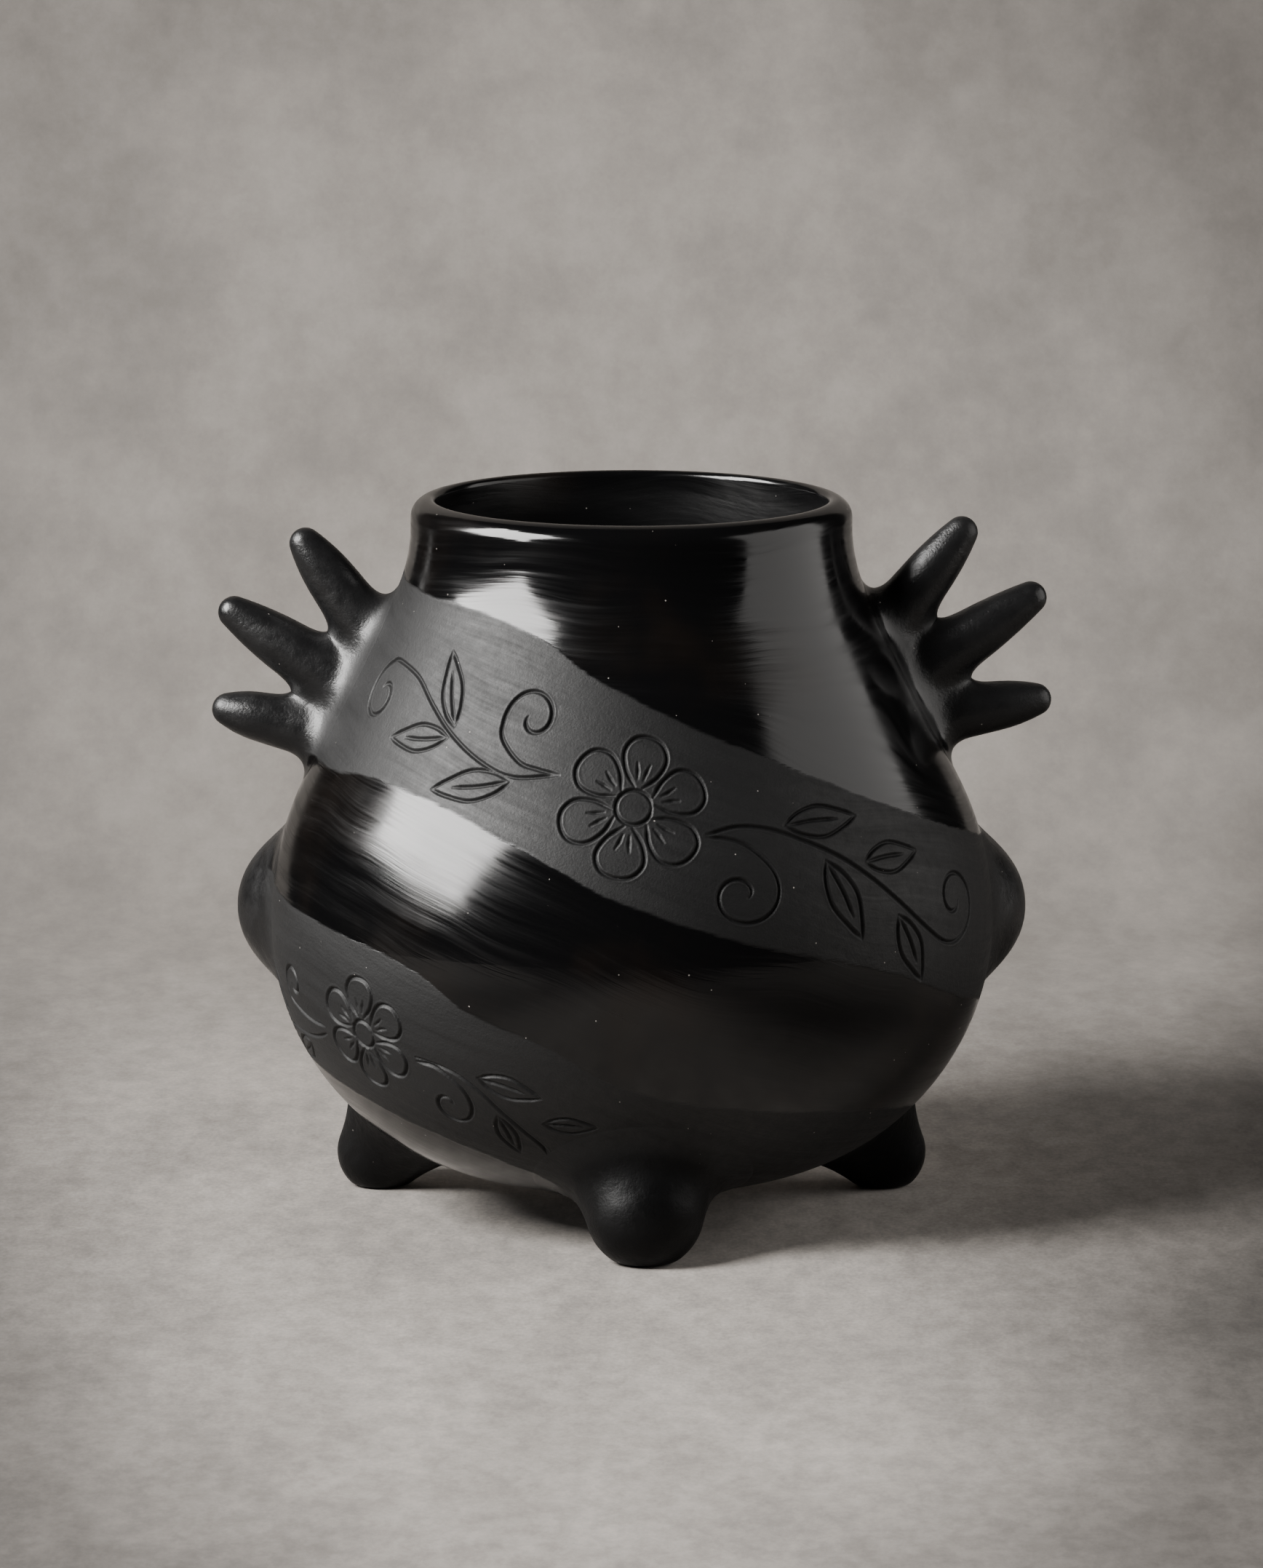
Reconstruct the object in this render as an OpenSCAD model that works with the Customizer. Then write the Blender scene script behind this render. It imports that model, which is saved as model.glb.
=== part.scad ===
// Blackware effigy jar: a tripod pot of burnished black clay, with a fan of three gill-like
// fingers on each shoulder and a rounded boss on each flank.
// A potter forms every piece alone and lutes it on with slip, so every piece is its own solid,
// cut to the surface that it is pressed against.
// Millimetres, +Z up, origin on the table under the pot's axis, front towards -Y.
// Left and right are those of someone who looks at the front.

/* [Pot] */
// Widest radius of the pot
belly_r = 80; // [79:0.5:83]
// Height of the widest line above the table
belly_z = 66.5; // [65:0.5:68]
// Gap between the table and the flat base
base_gap = 9.5; // [8.5:0.5:11]
// Radius of the curve that rises from the widest line to the shoulder
shoulder_arc = 70; // [67:1:73]
// Outer radius of the neck where it stands upright
neck_r = 48.8; // [47:0.2:50]
// Height where the neck stands upright
neck_z = 154.5; // [152:0.5:155]
// Radius of the hollow curve from the neck into the shoulder
neck_arc = 36; // [33:1:39]
// Thickness of the thrown wall
wall = 5.5; // [5:0.1:6.5]

/* [Mouth] */
// Height of the mouth above the table
mouth_z = 160.6; // [160:0.2:163]
// Radius of the rounded outer edge of the lip
lip_round = 4.2; // [3.4:0.1:4.6]
// Height of the joint between the last wall coil and the rim coil
rim_joint_z = 148; // [145:0.5:150]

/* [Feet] */
// Distance of the front foot from the pot's axis
front_foot_out = 56; // [54:0.5:58]
// Azimuth of the front foot, from straight ahead towards the right
front_foot_az = 3; // [-10:1:10]
// Radius of the rounded tip of the front foot, the stoutest of the three
front_foot_tip_r = 12; // [11:0.2:12.6]
// Distance of the two rear feet from the pot's axis
rear_foot_out = 64.5; // [63:0.5:65.5]
// Azimuth of the two rear feet, to either side
rear_foot_az = 119; // [114:1:124]
// Radius of the rounded tip of a rear foot
rear_foot_tip_r = 9.8; // [9.2:0.2:10.4]
// Radius of the flat that a foot stands on
foot_pad_r = 5.8; // [4.8:0.2:6.4]
// Outward lean of a foot from upright
foot_lean = 38; // [37:0.5:40]
// Flare of a foot's flank where it leaves the tip
foot_flare = 14; // [12:0.5:15]
// Radius of the hollow flank that widens from the tip to the pot
foot_flank_r = 42; // [41:0.5:46]

/* [Bosses] */
// Azimuth of a boss, from straight ahead to either side
boss_az = 107; // [100:1:115]
// Height of a boss above the table
boss_z = 65.8; // [64:0.1:70]
// Radius of the dome of a boss
boss_r = 17.5; // [16.5:0.5:18]
// How far a boss stands out from the widest line
boss_proud = 11.3; // [10.5:0.1:11.5]
// Radius of the hollow that blends a boss into the pot
boss_hollow_r = 8; // [7:0.5:8]

/* [Gills] */
// Azimuth of a gill fan, from straight ahead to either side
gill_az = 94; // [88:1:100]
// Heights on the shoulder where the left fingers start, upper to lower
left_gill_z = [129.0, 117.7, 107.4]; // [100:0.1:135]
// Tilts of the left fingers above level, upper to lower
left_gill_tilt = [54, 33, 13]; // [0:1:70]
// Lengths of the left fingers from the shoulder to the tip, upper to lower
left_gill_length = [29.1, 33.8, 25.9]; // [24:0.1:38]
// Heights on the shoulder where the right fingers start, upper to lower
right_gill_z = [130.7, 120.0, 110.9]; // [100:0.1:135]
// Tilts of the right fingers above level, upper to lower
right_gill_tilt = [52, 33, 9]; // [0:1:70]
// Lengths of the right fingers from the shoulder to the tip, upper to lower
right_gill_length = [30.8, 35.6, 27.4]; // [24:0.1:38]
// Radii of the fingers at the joint with their root, upper to lower
gill_joint_r = [5.7, 6.2, 5.5]; // [5.4:0.1:6.4]
// How much a finger's radius grows from its joint to the shoulder
gill_swell = 1.1; // [0.9:0.1:1.2]
// Radius of a finger's rounded tip
gill_tip_r = 3.6; // [3.2:0.1:3.8]
// Distance from the shoulder to the joint between a finger and its root
gill_joint = 15; // [14:0.5:16]
// Half the thickness of the web between two fingers
web_half = 4.4; // [3.8:0.1:5]
// Radius of the rounded crotch between two fingers
crotch_r = 2.3; // [2:0.1:2.6]
// Radius of the hollow between the upper finger and the neck
upper_hollow_r = 6; // [5:0.5:7]
// Radius of the hollow under the lower finger
lower_hollow_r = 6.5; // [5.5:0.5:7.5]

/* [Carving] */
// Width of an incised line
line_w = 1.1; // [0.9:0.1:1.2]
// Depth of an incised line
line_depth = 0.6; // [0.4:0.1:0.8]
// Azimuth of the flower in the upper turn of the band
upper_flower_az = 0.4; // [-4:0.2:4]
// How far up the wall that flower sits, from the widest line
upper_flower_climb = 38.2; // [37.6:0.2:39]
// Distance from the middle of the upper flower to its petals' tips
upper_petal = 16.2; // [15.6:0.2:16.6]
// Azimuth of the flower in the lower turn of the band
lower_flower_az = -49; // [-51:0.5:-48]
// How far up the wall that flower sits, from the widest line, below which it is
lower_flower_climb = -17; // [-18:0.2:-16.4]
// Distance from the middle of the lower flower to its petals' tips
lower_petal = 13.2; // [13:0.1:13.8]

/* [Hidden] */
$fn = 180;

clay_burnished = [0.07, 0.07, 0.075];
clay_satin = [0.10, 0.10, 0.105];
clay_matte = [0.14, 0.14, 0.145];

// Centres of the curves of the pot's outline, as [radius, height]
lower_arc = belly_z - base_gap;
lower_centre = [belly_r - lower_arc, belly_z];
upper_centre = [belly_r - shoulder_arc, belly_z];
neck_centre = [neck_r + neck_arc, neck_z];

// The straight cone of the shoulder touches the shoulder curve and the neck curve
centre_span = neck_centre - upper_centre;
cone_lean = atan2(centre_span[1], centre_span[0])
    - acos((shoulder_arc + neck_arc) / norm(centre_span));

// Thickness of the rounded inner edge of the lip
lip_inner = wall - lip_round;

// Places that only have to reach past a surface
past = 5;
// The cone starts this little inside the shoulder curve, so that the two cross with no step
tuck = 0.002;
foot_reach = 20.5;
table_w = 4 * belly_r;

function ray(angle) = [cos(angle), sin(angle)];
function cone_foot(inset) = upper_centre + (shoulder_arc - inset) * ray(cone_lean);
function cone_top(inset) = neck_centre - (neck_arc + inset) * ray(cone_lean);
// Radius of the shoulder cone at a height
function cone_r(z) = cone_foot(0)[0] - (z - cone_foot(0)[1]) * tan(cone_lean);

// Quarter of a disc, for the rounded edges of the lip
module quarter(r, turn) {
    intersection() {
        circle(r);
        rotate(turn) square(r);
    }
}

// Filled half-section of the pot up to the upright neck, drawn in by inset
module pot_section(inset = 0, rise = 0) {
    foot = cone_foot(inset + tuck);
    top = cone_top(inset);
    translate([0, base_gap + inset]) square([lower_centre[0], lower_arc - inset]);
    translate(lower_centre) quarter(lower_arc - inset, -90);
    intersection() {
        translate(upper_centre) circle(shoulder_arc - inset);
        translate([0, belly_z]) square([belly_r, foot[1] - belly_z + past]);
    }
    polygon([[0, foot[1]], foot, top, [0, top[1]]]);
    difference() {
        translate([0, top[1]]) square([neck_centre[0], neck_z + rise - top[1]]);
        translate(neck_centre) circle(neck_arc + inset);
    }
}

// Upright neck and the lip, round outside and tighter inside
module lip_section() {
    crown_r = neck_r - lip_round;
    translate([neck_r - wall, neck_z]) square([wall, mouth_z - lip_round - neck_z]);
    translate([neck_r - wall, mouth_z - lip_round]) square([lip_inner, lip_round - lip_inner]);
    translate([crown_r, mouth_z - lip_round]) quarter(lip_round, 0);
    translate([crown_r, mouth_z - lip_inner]) quarter(lip_inner, 90);
}

module wall_section() {
    difference() {
        pot_section();
        pot_section(wall, past);
    }
    lip_section();
}

// All that lies below a scarf joint, whose slant crosses the wall about the point at
module below_scarf(at) {
    outside = 2 * belly_r;
    polygon([
        [0, 0], [outside, 0],
        [outside, at[1] + wall], at + [wall, wall],
        at - [wall, wall], [0, at[1] - wall]
    ]);
}

module below_belly_joint() {
    below_scarf([belly_r - wall / 2, belly_z]);
}

module below_rim_joint() {
    rise = neck_z - rim_joint_z;
    joint_r = neck_centre[0] - sqrt(pow(neck_arc, 2) - pow(rise, 2));
    below_scarf([joint_r - wall / 2, rim_joint_z]);
}

module pot_solid() {
    rotate_extrude() pot_section();
}

// Turns what is drawn along +X to an azimuth, which runs from the front towards the right
module at_azimuth(azimuth) {
    rotate([0, 0, azimuth - 90]) children();
}

// The wall's outside as [radius, height, facing above level], at a climb from the widest line
function outside_at(climb) =
    let (low = climb / lower_arc * 180 / PI)
    let (high = climb / shoulder_arc * 180 / PI)
    let (up_cone = climb - shoulder_arc * cone_lean * PI / 180)
    climb < 0 ? concat(lower_centre + lower_arc * ray(low), low)
    : up_cone < 0 ? concat(upper_centre + shoulder_arc * ray(high), high)
    : concat(cone_foot(0) + up_cone * ray(cone_lean + 90), cone_lean);

// A sprig is [azimuth, climb] of its flower. Its lines are drawn flat about the flower, [right, up]
upper_sprig_at = [upper_flower_az, upper_flower_climb];
lower_sprig_at = [lower_flower_az, lower_flower_climb];
function across(sprig, place) =
    outside_at(sprig[1] + place[1])[0] / outside_at(sprig[1])[0];

// Lays what is drawn flat onto the wall, where the sprig has the place
module on_wall(sprig, place) {
    at = outside_at(sprig[1] + place[1]);
    turn = place[0] / outside_at(sprig[1])[0] * 180 / PI;
    at_azimuth(sprig[0] + turn) translate([at[0], 0, at[1]]) rotate([0, -at[2], 0]) rotate([90, 0, 90])
        children();
}

// Reach of a stick's cut into the wall and out of it
stick_in = 4;
stick_out = 3;

// A cut with the shape that is drawn
module cut() {
    translate([0, 0, -stick_in]) linear_extrude(stick_in + stick_out) children();
}

// A cut along part of a circle
module arc_cut(r, start, sweep) {
    rotate(start) rotate_extrude(angle = sweep)
        translate([r - line_w / 2, -stick_in]) square([line_w, stick_in + stick_out]);
}

// One stroke of the stick between two places, which bows out to its left
module stroke(sprig, from, to, bow) {
    middle = (from + to) / 2;
    span = [(to[0] - from[0]) * across(sprig, middle), to[1] - from[1]];
    half = norm(span) / 2;
    r = (half * half + bow * bow) / (2 * abs(bow));
    swing = asin(half / r);
    side = sign(bow);
    on_wall(sprig, middle) rotate(atan2(span[1], span[0])) translate([0, bow - side * r])
        arc_cut(r, side * 90 - swing, 2 * swing);
}

// A closing scroll of half circles, each about half as wide as the one before it
module scroll(sprig, place, r, start, side) {
    shrink = 0.53;
    on_wall(sprig, place) rotate(start) mirror([0, side < 0 ? 1 : 0]) {
        arc_cut(r, 0, 180);
        translate([(shrink - 1) * r, 0]) arc_cut(shrink * r, 180, 180);
        translate([(2 * shrink - 1 - pow(shrink, 2)) * r, 0]) arc_cut(pow(shrink, 2) * r, 0, 120);
    }
}

// A leaf of two bowed sides and the vein between them
module leaf(sprig, base, tip, width) {
    middle = (base + tip) / 2;
    span = [(tip[0] - base[0]) * across(sprig, middle), tip[1] - base[1]];
    half = norm(span) / 2;
    r = (half * half + width * width / 4) / width;
    module sides(grow) {
        intersection_for (side = [-1, 1]) translate([0, side * (r - width / 2)]) circle(r + grow);
    }
    on_wall(sprig, middle) rotate(atan2(span[1], span[0])) cut() {
        difference() {
            sides(line_w / 2);
            sides(-line_w / 2);
        }
        translate([-0.7 * half, -line_w / 3]) square([1.1 * half, line_w / 1.5]);
    }
}

// A round petal that narrows to a claw at the heart of the flower
module petal(r) {
    circle(r);
    polygon([[-1.22 * r, 0], [0, -0.86 * r], [0, 0.86 * r]]);
}

// Six petals about a ring
module flower(sprig, reach, first_turn) {
    petal_r = 0.29 * reach;
    heart_r = 0.24 * reach;
    on_wall(sprig, [0, 0]) cut() {
        difference() {
            circle(heart_r + line_w / 2);
            circle(heart_r - line_w / 2);
        }
        for (k = [0:5]) rotate(first_turn + 60 * k) translate([reach - petal_r, 0]) difference() {
            petal(petal_r + line_w / 2);
            petal(petal_r - line_w / 2);
        }
    }
}

module upper_sprig() {
    s = upper_sprig_at;
    flower(s, upper_petal, 16);
    stroke(s, [-17.8, 7], [-36.5, 8.8], 2);
    stroke(s, [-38, 9.6], [-56, 20.5], 0.4);
    stroke(s, [-57.2, 21.3], [-74.5, 28.4], -1);
    scroll(s, [-77.2, 21.9], 6.7, 80, 1);
    stroke(s, [-20, 9.2], [-31.2, 13], 1.6);
    scroll(s, [-26.5, 18.4], 6.9, 212, -1);
    leaf(s, [-47.8, 18.4], [-55, 33], 6.2);
    leaf(s, [-49.2, 13.2], [-66.5, 11.5], 6.2);
    leaf(s, [-31.4, 3.8], [-48, 1.5], 6.6);
    stroke(s, [17.8, -5.8], [36, -9], 1.8);
    stroke(s, [37.5, -9.8], [54.5, -22], 0.6);
    stroke(s, [55.8, -23.2], [72.6, -36], 0.5);
    scroll(s, [76.2, -29.5], 7.5, -100, 1);
    stroke(s, [18.8, -8.8], [25, -11.4], 1);
    scroll(s, [22.3, -18.6], 7.4, 55, -1);
    leaf(s, [33, -5.4], [51, -5], 6.8);
    leaf(s, [50.5, -15.5], [66, -15], 6.4);
    leaf(s, [41, -15.4], [47, -32], 6.4);
    leaf(s, [57.2, -28.6], [63.5, -43.5], 6);
}

// The lower sprig winds on round the left of the pot, up to the boss
module lower_sprig() {
    s = lower_sprig_at;
    flower(s, lower_petal, 25);
    stroke(s, [15.3, -3.6], [31, -11.6], 1.5);
    stroke(s, [32, -12.8], [43, -28], 0.8);
    scroll(s, [21.4, -14.3], 5.9, 58, -1);
    leaf(s, [31.5, -7.3], [45.5, -11.5], 5.4);
    leaf(s, [33, -18.2], [35, -30], 5);
    leaf(s, [44.5, -19], [58, -19.5], 4.8);
    stroke(s, [-15.8, -0.2], [-29.8, 1.8], 0.8);
    scroll(s, [-28.3, 7.3], 5.2, 232, -1);
    stroke(s, [-16.2, -3.2], [-38.5, -4.6], 0.7);
    leaf(s, [-28.5, -6.9], [-42, -12], 5.4);
    leaf(s, [-40, -1.6], [-50, 10], 5.4);
    leaf(s, [-41, -5], [-55, -6], 5.2);
}

// The wall, with the lines cut to an even depth under its surface
module carved() {
    difference() {
        children(0);
        difference() {
            children(1);
            rotate_extrude() pot_section(line_depth);
        }
    }
}

module bowl() {
    color(clay_matte) carved() {
        rotate_extrude() intersection() {
            wall_section();
            below_belly_joint();
        }
        union() {
            upper_sprig();
            lower_sprig();
        }
    }
}

module shoulder() {
    color(clay_burnished) carved() {
        rotate_extrude() difference() {
            intersection() {
                wall_section();
                below_rim_joint();
            }
            below_belly_joint();
        }
        upper_sprig();
    }
}

module rim_coil() {
    color(clay_burnished) rotate_extrude() difference() {
        wall_section();
        below_rim_joint();
    }
}

// Teat of a foot about its own axis: a rounded tip whose flank flares up to the pot
module foot_form(tip_r) {
    flank_centre = (tip_r + foot_flank_r) * ray(-foot_flare);
    start = tip_r * ray(-foot_flare);
    rotate_extrude() {
        quarter(tip_r, -90);
        difference() {
            translate([0, start[1]]) square([flank_centre[0], foot_reach - start[1]]);
            translate(flank_centre) circle(foot_flank_r);
        }
    }
}

module foot(azimuth, out, tip_r) {
    tip_z = sqrt(pow(tip_r, 2) - pow(foot_pad_r, 2));
    color(clay_matte) difference() {
        at_azimuth(azimuth) translate([out, 0, tip_z]) rotate([0, -foot_lean, 0]) foot_form(tip_r);
        pot_solid();
        translate([-table_w / 2, -table_w / 2, -table_w]) cube(table_w);
    }
}

// Dome of a boss about its own axis, with the hollow that runs out onto the pot
module boss_form() {
    leave = 18;
    hollow_centre = (boss_r + boss_hollow_r) * ray(leave);
    start = boss_r * ray(leave);
    depth = boss_r / 2;
    rotate_extrude() {
        quarter(boss_r, 0);
        difference() {
            translate([0, -depth]) square([hollow_centre[0], start[1] + depth]);
            translate(hollow_centre) circle(boss_hollow_r);
        }
    }
}

module boss(azimuth) {
    centre_r = belly_r + boss_proud - boss_r;
    color(clay_satin) difference() {
        at_azimuth(azimuth) translate([centre_r, 0, boss_z]) rotate([0, 90, 0]) boss_form();
        pot_solid();
    }
}

// Fingers are drawn in the upright plane through the pot's axis, as [radius, height].
// Each tapers evenly up to its joint, and then swells into a bullet-shaped tip.
function gill_tilt(side, i) = side < 0 ? left_gill_tilt[i] : right_gill_tilt[i];
function gill_z(side, i) = side < 0 ? left_gill_z[i] : right_gill_z[i];
function gill_length(side, i) = side < 0 ? left_gill_length[i] : right_gill_length[i];
function gill_root(side, i) = [cone_r(gill_z(side, i)), gill_z(side, i)];
gill_taper = atan(gill_swell / gill_joint);
function gill_root_r(i) = gill_joint_r[i] + gill_swell;
function gill_r(i, s) = gill_root_r(i) - s * tan(gill_taper);

// A line is [point, direction]. This one runs along a finger's upper (turn 1) or lower (turn -1)
// side, at a gap from it
function gill_side(side, i, turn, gap) =
    let (facing = gill_tilt(side, i) + turn * (90 - gill_taper))
    let (reach = gill_root_r(i) * cos(gill_taper) + gap)
    [gill_root(side, i) + reach * ray(facing), ray(facing - turn * 90)];
function shoulder_side(gap) = [cone_foot(0) + gap * ray(cone_lean), ray(cone_lean + 90)];
function cross2(a, b) = a[0] * b[1] - a[1] * b[0];
function meet(a, b) = a[0] + a[1] * cross2(b[0] - a[0], b[1]) / cross2(a[1], b[1]);
// Foot of the perpendicular from a point to a line
function foot_on(line, point) = line[0] + line[1] * ((point - line[0]) * line[1]);
function gill_axis(side, i) = [gill_root(side, i), ray(gill_tilt(side, i))];

module along_gill(side, i, s) {
    place = gill_root(side, i) + s * ray(gill_tilt(side, i));
    translate([place[0], 0, place[1]]) rotate([0, 90 - gill_tilt(side, i), 0]) children();
}

// Finger from the joint to its tip. Its side is an arc that leaves the joint along the taper and
// runs into the tip ball
module gill_finger(side, i) {
    taper = gill_taper;
    joint_r = gill_joint_r[i];
    tip_h = gill_length(side, i) - gill_joint - gill_tip_r;
    side_arc = (pow(tip_h, 2) + pow(joint_r, 2) - pow(gill_tip_r, 2))
        / (2 * (joint_r * cos(taper) - gill_tip_r - tip_h * sin(taper)));
    side_centre = [joint_r, 0] - side_arc * ray(taper);
    leave = [0, tip_h] - side_centre;
    touch_h = tip_h + gill_tip_r * leave[1] / norm(leave);
    color(clay_satin) at_azimuth(side * gill_az) along_gill(side, i, gill_joint) rotate_extrude() {
        intersection() {
            translate(side_centre) circle(side_arc, $fn = 4 * $fn);
            square([2 * joint_r, touch_h]);
        }
        translate([0, tip_h]) quarter(gill_tip_r, 0);
    }
}

// Plate of clay between two lines, with a rounded edge that is hollowed about a centre
module web(points, centre, hollow_r) {
    edge_r = 1.2 * web_half;
    bite = 0.3;
    difference() {
        rotate([90, 0, 0]) linear_extrude(2 * web_half, center = true) polygon(points);
        translate([centre[0], 0, centre[1]]) rotate([90, 0, 0]) rotate_extrude() difference() {
            translate([0, -edge_r]) square([hollow_r + bite + edge_r, 2 * edge_r]);
            translate([hollow_r + bite + edge_r, 0]) circle(edge_r);
        }
    }
}

module crotch_web(side, i) {
    centre = meet(gill_side(side, i, -1, crotch_r), gill_side(side, i + 1, 1, crotch_r));
    web([
        gill_root(side, i), foot_on(gill_axis(side, i), centre), centre,
        foot_on(gill_axis(side, i + 1), centre), gill_root(side, i + 1)
    ], centre, crotch_r);
}

// Web from an end finger to the pot, above the fan (turn 1) or below it (turn -1)
module end_web(side, i, turn, hollow_r) {
    centre = meet(gill_side(side, i, turn, hollow_r), shoulder_side(hollow_r));
    web([
        gill_root(side, i), foot_on(gill_axis(side, i), centre), centre,
        foot_on(shoulder_side(-past), centre)
    ], centre, hollow_r);
}

// Three stumps and the web between them, pinched from one lump and pressed onto the shoulder
module gill_root_lump(side) {
    sunk = -past;
    color(clay_satin) difference() {
        at_azimuth(side * gill_az) {
            for (i = [0:2]) along_gill(side, i, sunk)
                cylinder(h = gill_joint - sunk, r1 = gill_r(i, sunk), r2 = gill_r(i, gill_joint));
            for (i = [0:1]) crotch_web(side, i);
            end_web(side, 0, 1, upper_hollow_r);
            end_web(side, 2, -1, lower_hollow_r);
        }
        pot_solid();
    }
}

bowl();
shoulder();
rim_coil();
foot(front_foot_az, front_foot_out, front_foot_tip_r);  // front_foot
foot(-rear_foot_az, rear_foot_out, rear_foot_tip_r);  // left_foot
foot(rear_foot_az, rear_foot_out, rear_foot_tip_r);  // right_foot
boss(-boss_az);  // left_boss
boss(boss_az);  // right_boss
gill_root_lump(-1);  // left_gill_root
gill_finger(-1, 0);  // left_gill_upper
gill_finger(-1, 1);  // left_gill_middle
gill_finger(-1, 2);  // left_gill_lower
gill_root_lump(1);  // right_gill_root
gill_finger(1, 0);  // right_gill_upper
gill_finger(1, 1);  // right_gill_middle
gill_finger(1, 2);  // right_gill_lower
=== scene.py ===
"""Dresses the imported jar: every piece of clay, its finish, and the studio that it stands in.

Lengths are in metres. +Z is up, the front faces -Y, and an azimuth runs from the front towards the
viewer's right. Places on the pot's outside are given as an azimuth and a climb, which is the length
along the outside from the widest line, upwards.
"""
import math

import bmesh
import bpy
import numpy as np
from bpy.props import FloatProperty, FloatVectorProperty, PointerProperty
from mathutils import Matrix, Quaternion, Vector
from mathutils.kdtree import KDTree


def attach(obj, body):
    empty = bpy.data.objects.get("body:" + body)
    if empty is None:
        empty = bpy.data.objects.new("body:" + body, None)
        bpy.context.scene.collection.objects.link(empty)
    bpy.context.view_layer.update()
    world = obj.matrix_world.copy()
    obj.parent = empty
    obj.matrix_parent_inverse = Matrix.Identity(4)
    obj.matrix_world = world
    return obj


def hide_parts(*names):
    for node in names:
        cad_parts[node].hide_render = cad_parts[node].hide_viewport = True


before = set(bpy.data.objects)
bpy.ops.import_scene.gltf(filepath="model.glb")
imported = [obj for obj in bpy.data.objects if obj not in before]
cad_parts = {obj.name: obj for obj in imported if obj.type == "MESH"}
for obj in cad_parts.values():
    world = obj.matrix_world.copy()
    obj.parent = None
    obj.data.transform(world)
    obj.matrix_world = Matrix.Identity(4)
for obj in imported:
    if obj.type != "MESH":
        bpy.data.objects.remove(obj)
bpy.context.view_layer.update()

bl_info = {
    "name": "Blackware Effigy Jar",
    "version": (1, 0, 0),
    "blender": (4, 5, 0),
    "location": "3D View > Sidebar > Jar",
    "description": "Builds a burnished black clay jar with gill fans, bosses, feet and an incised band",
    "category": "Object",
}

MM = 0.001
TAU = 2 * math.pi
UP = Vector((0, 0, 1))
SIDES = {"left": -1, "right": 1}
FINGERS = ("upper", "middle", "lower")

# Mesh fineness
SPIN_STEPS = 256
ROW = 1.8 * MM
INNER_ROW = 5 * MM
LIP_ROW = 0.45 * MM
FINE_LEVELS = 3
MERGE = 1e-6

# The hand's wobble, as waves: share, number round the pot, turn per metre of height, and phase. It grows
# over these heights above the flat base
HAND_WAVES = ((0.5, 2, 0, 0.7), (0.3, 3, 45, 0), (0.2, 5, -80, 0))
HAND_RANGE = (2 * MM, 20 * MM)

# The inside is what lies deeper than this share of the wall. It is polished this far down from the mouth,
# and the polish starts to fade at this share of that
INNER_SHARE = 0.6
MOUTH_POLISH = 3 * MM
POLISH_START = 0.4

# A luted piece runs this far under the pot's skin, dives this much deeper under the incised lines between
# two shares of its blend, and ends this deep in the wall
SINK = 0.03 * MM
DIVE = 0.75 * MM
DIVE_RANGE = (0.7, 1.2)
LUTE_DEPTH = 2.6 * MM

# Depths between which a luted piece leaves its seed shape, and heights over which it takes its own finish
FREE_RANGE = (-1.6 * MM, -0.8 * MM)
RAISED_RANGE = (0.2 * MM, 3 * MM)

# Half sizes of the plates under the luted pieces, across and up, and how fine their skins are
FOOT_PATCH = (40 * MM, 40 * MM)
BOSS_PATCH = (30 * MM, 30 * MM)
FAN_PATCH = (22 * MM, 32 * MM)
LUTE_VOXEL = 0.75 * MM
FAN_VOXEL = 0.6 * MM

# A foot's flank runs this far up its axis, into the pot, and its plate lies this many mm up the axis
FOOT_REACH = 20.5 * MM
FOOT_PATCH_UP = 14

# Beyond this distance from its axis, a foot's smoothed edge is led under the pot's skin at this rate
FOOT_SPREAD = 22 * MM
FOOT_LEAD = 0.5

# A foot's flat is rounded off by this much, and a finger's joint is looked for this near to it
PAD_ROUND = 1.2 * MM
JOINT_NEAR = 3 * MM
JOINT_ROOM = 2.5 * MM


def length(name, description, millimetres):
    return FloatProperty(name=name, description=description, default=millimetres * MM, unit="LENGTH",
                         subtype="DISTANCE", precision=5)


def angle(name, description, degrees):
    return FloatProperty(name=name, description=description, default=math.radians(degrees),
                         unit="ROTATION", subtype="ANGLE")


def share(name, description, default):
    return FloatProperty(name=name, description=description, default=default, min=0.0, max=1.0,
                         subtype="FACTOR")


def power(name, description, watts):
    return FloatProperty(name=name, description=description, default=watts, unit="POWER")


def colour(name, description, default):
    return FloatVectorProperty(name=name, description=description, default=default, size=3,
                               min=0.0, max=1.0, subtype="COLOR")


def lengths(name, description, millimetres):
    return FloatVectorProperty(name=name, description=description, size=3, unit="LENGTH",
                               default=[value * MM for value in millimetres], precision=5)


def angles(name, description, degrees):
    return FloatVectorProperty(name=name, description=description, size=3, unit="ROTATION",
                               default=[math.radians(value) for value in degrees])


class JarPot(bpy.types.PropertyGroup):
    """Sizes of the pot itself."""
    belly_radius: length("Belly radius", "Widest radius of the pot", 80)
    belly_height: length("Belly height", "Height of the widest line above the table", 66.5)
    base_gap: length("Base gap", "Gap between the table and the flat base", 9.5)
    shoulder_arc: length("Shoulder curve", "Radius of the curve above the widest line", 70)
    neck_radius: length("Neck radius", "Outer radius of the upright neck", 48.8)
    neck_height: length("Neck height", "Height where the neck stands upright", 154.5)
    neck_arc: length("Neck curve", "Radius of the hollow curve under the neck", 36)
    wall: length("Wall", "Thickness of the wall", 5.5)
    mouth_height: length("Mouth height", "Height of the mouth above the table", 160.6)
    lip_round: length("Lip round", "Radius of the lip's outer edge", 4.2)
    rim_joint: length("Rim joint", "Height of the joint under the rim coil", 148)
    hand_wobble: length("Hand wobble", "How far the hand-smoothed wall strays from true", 0.22)


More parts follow.
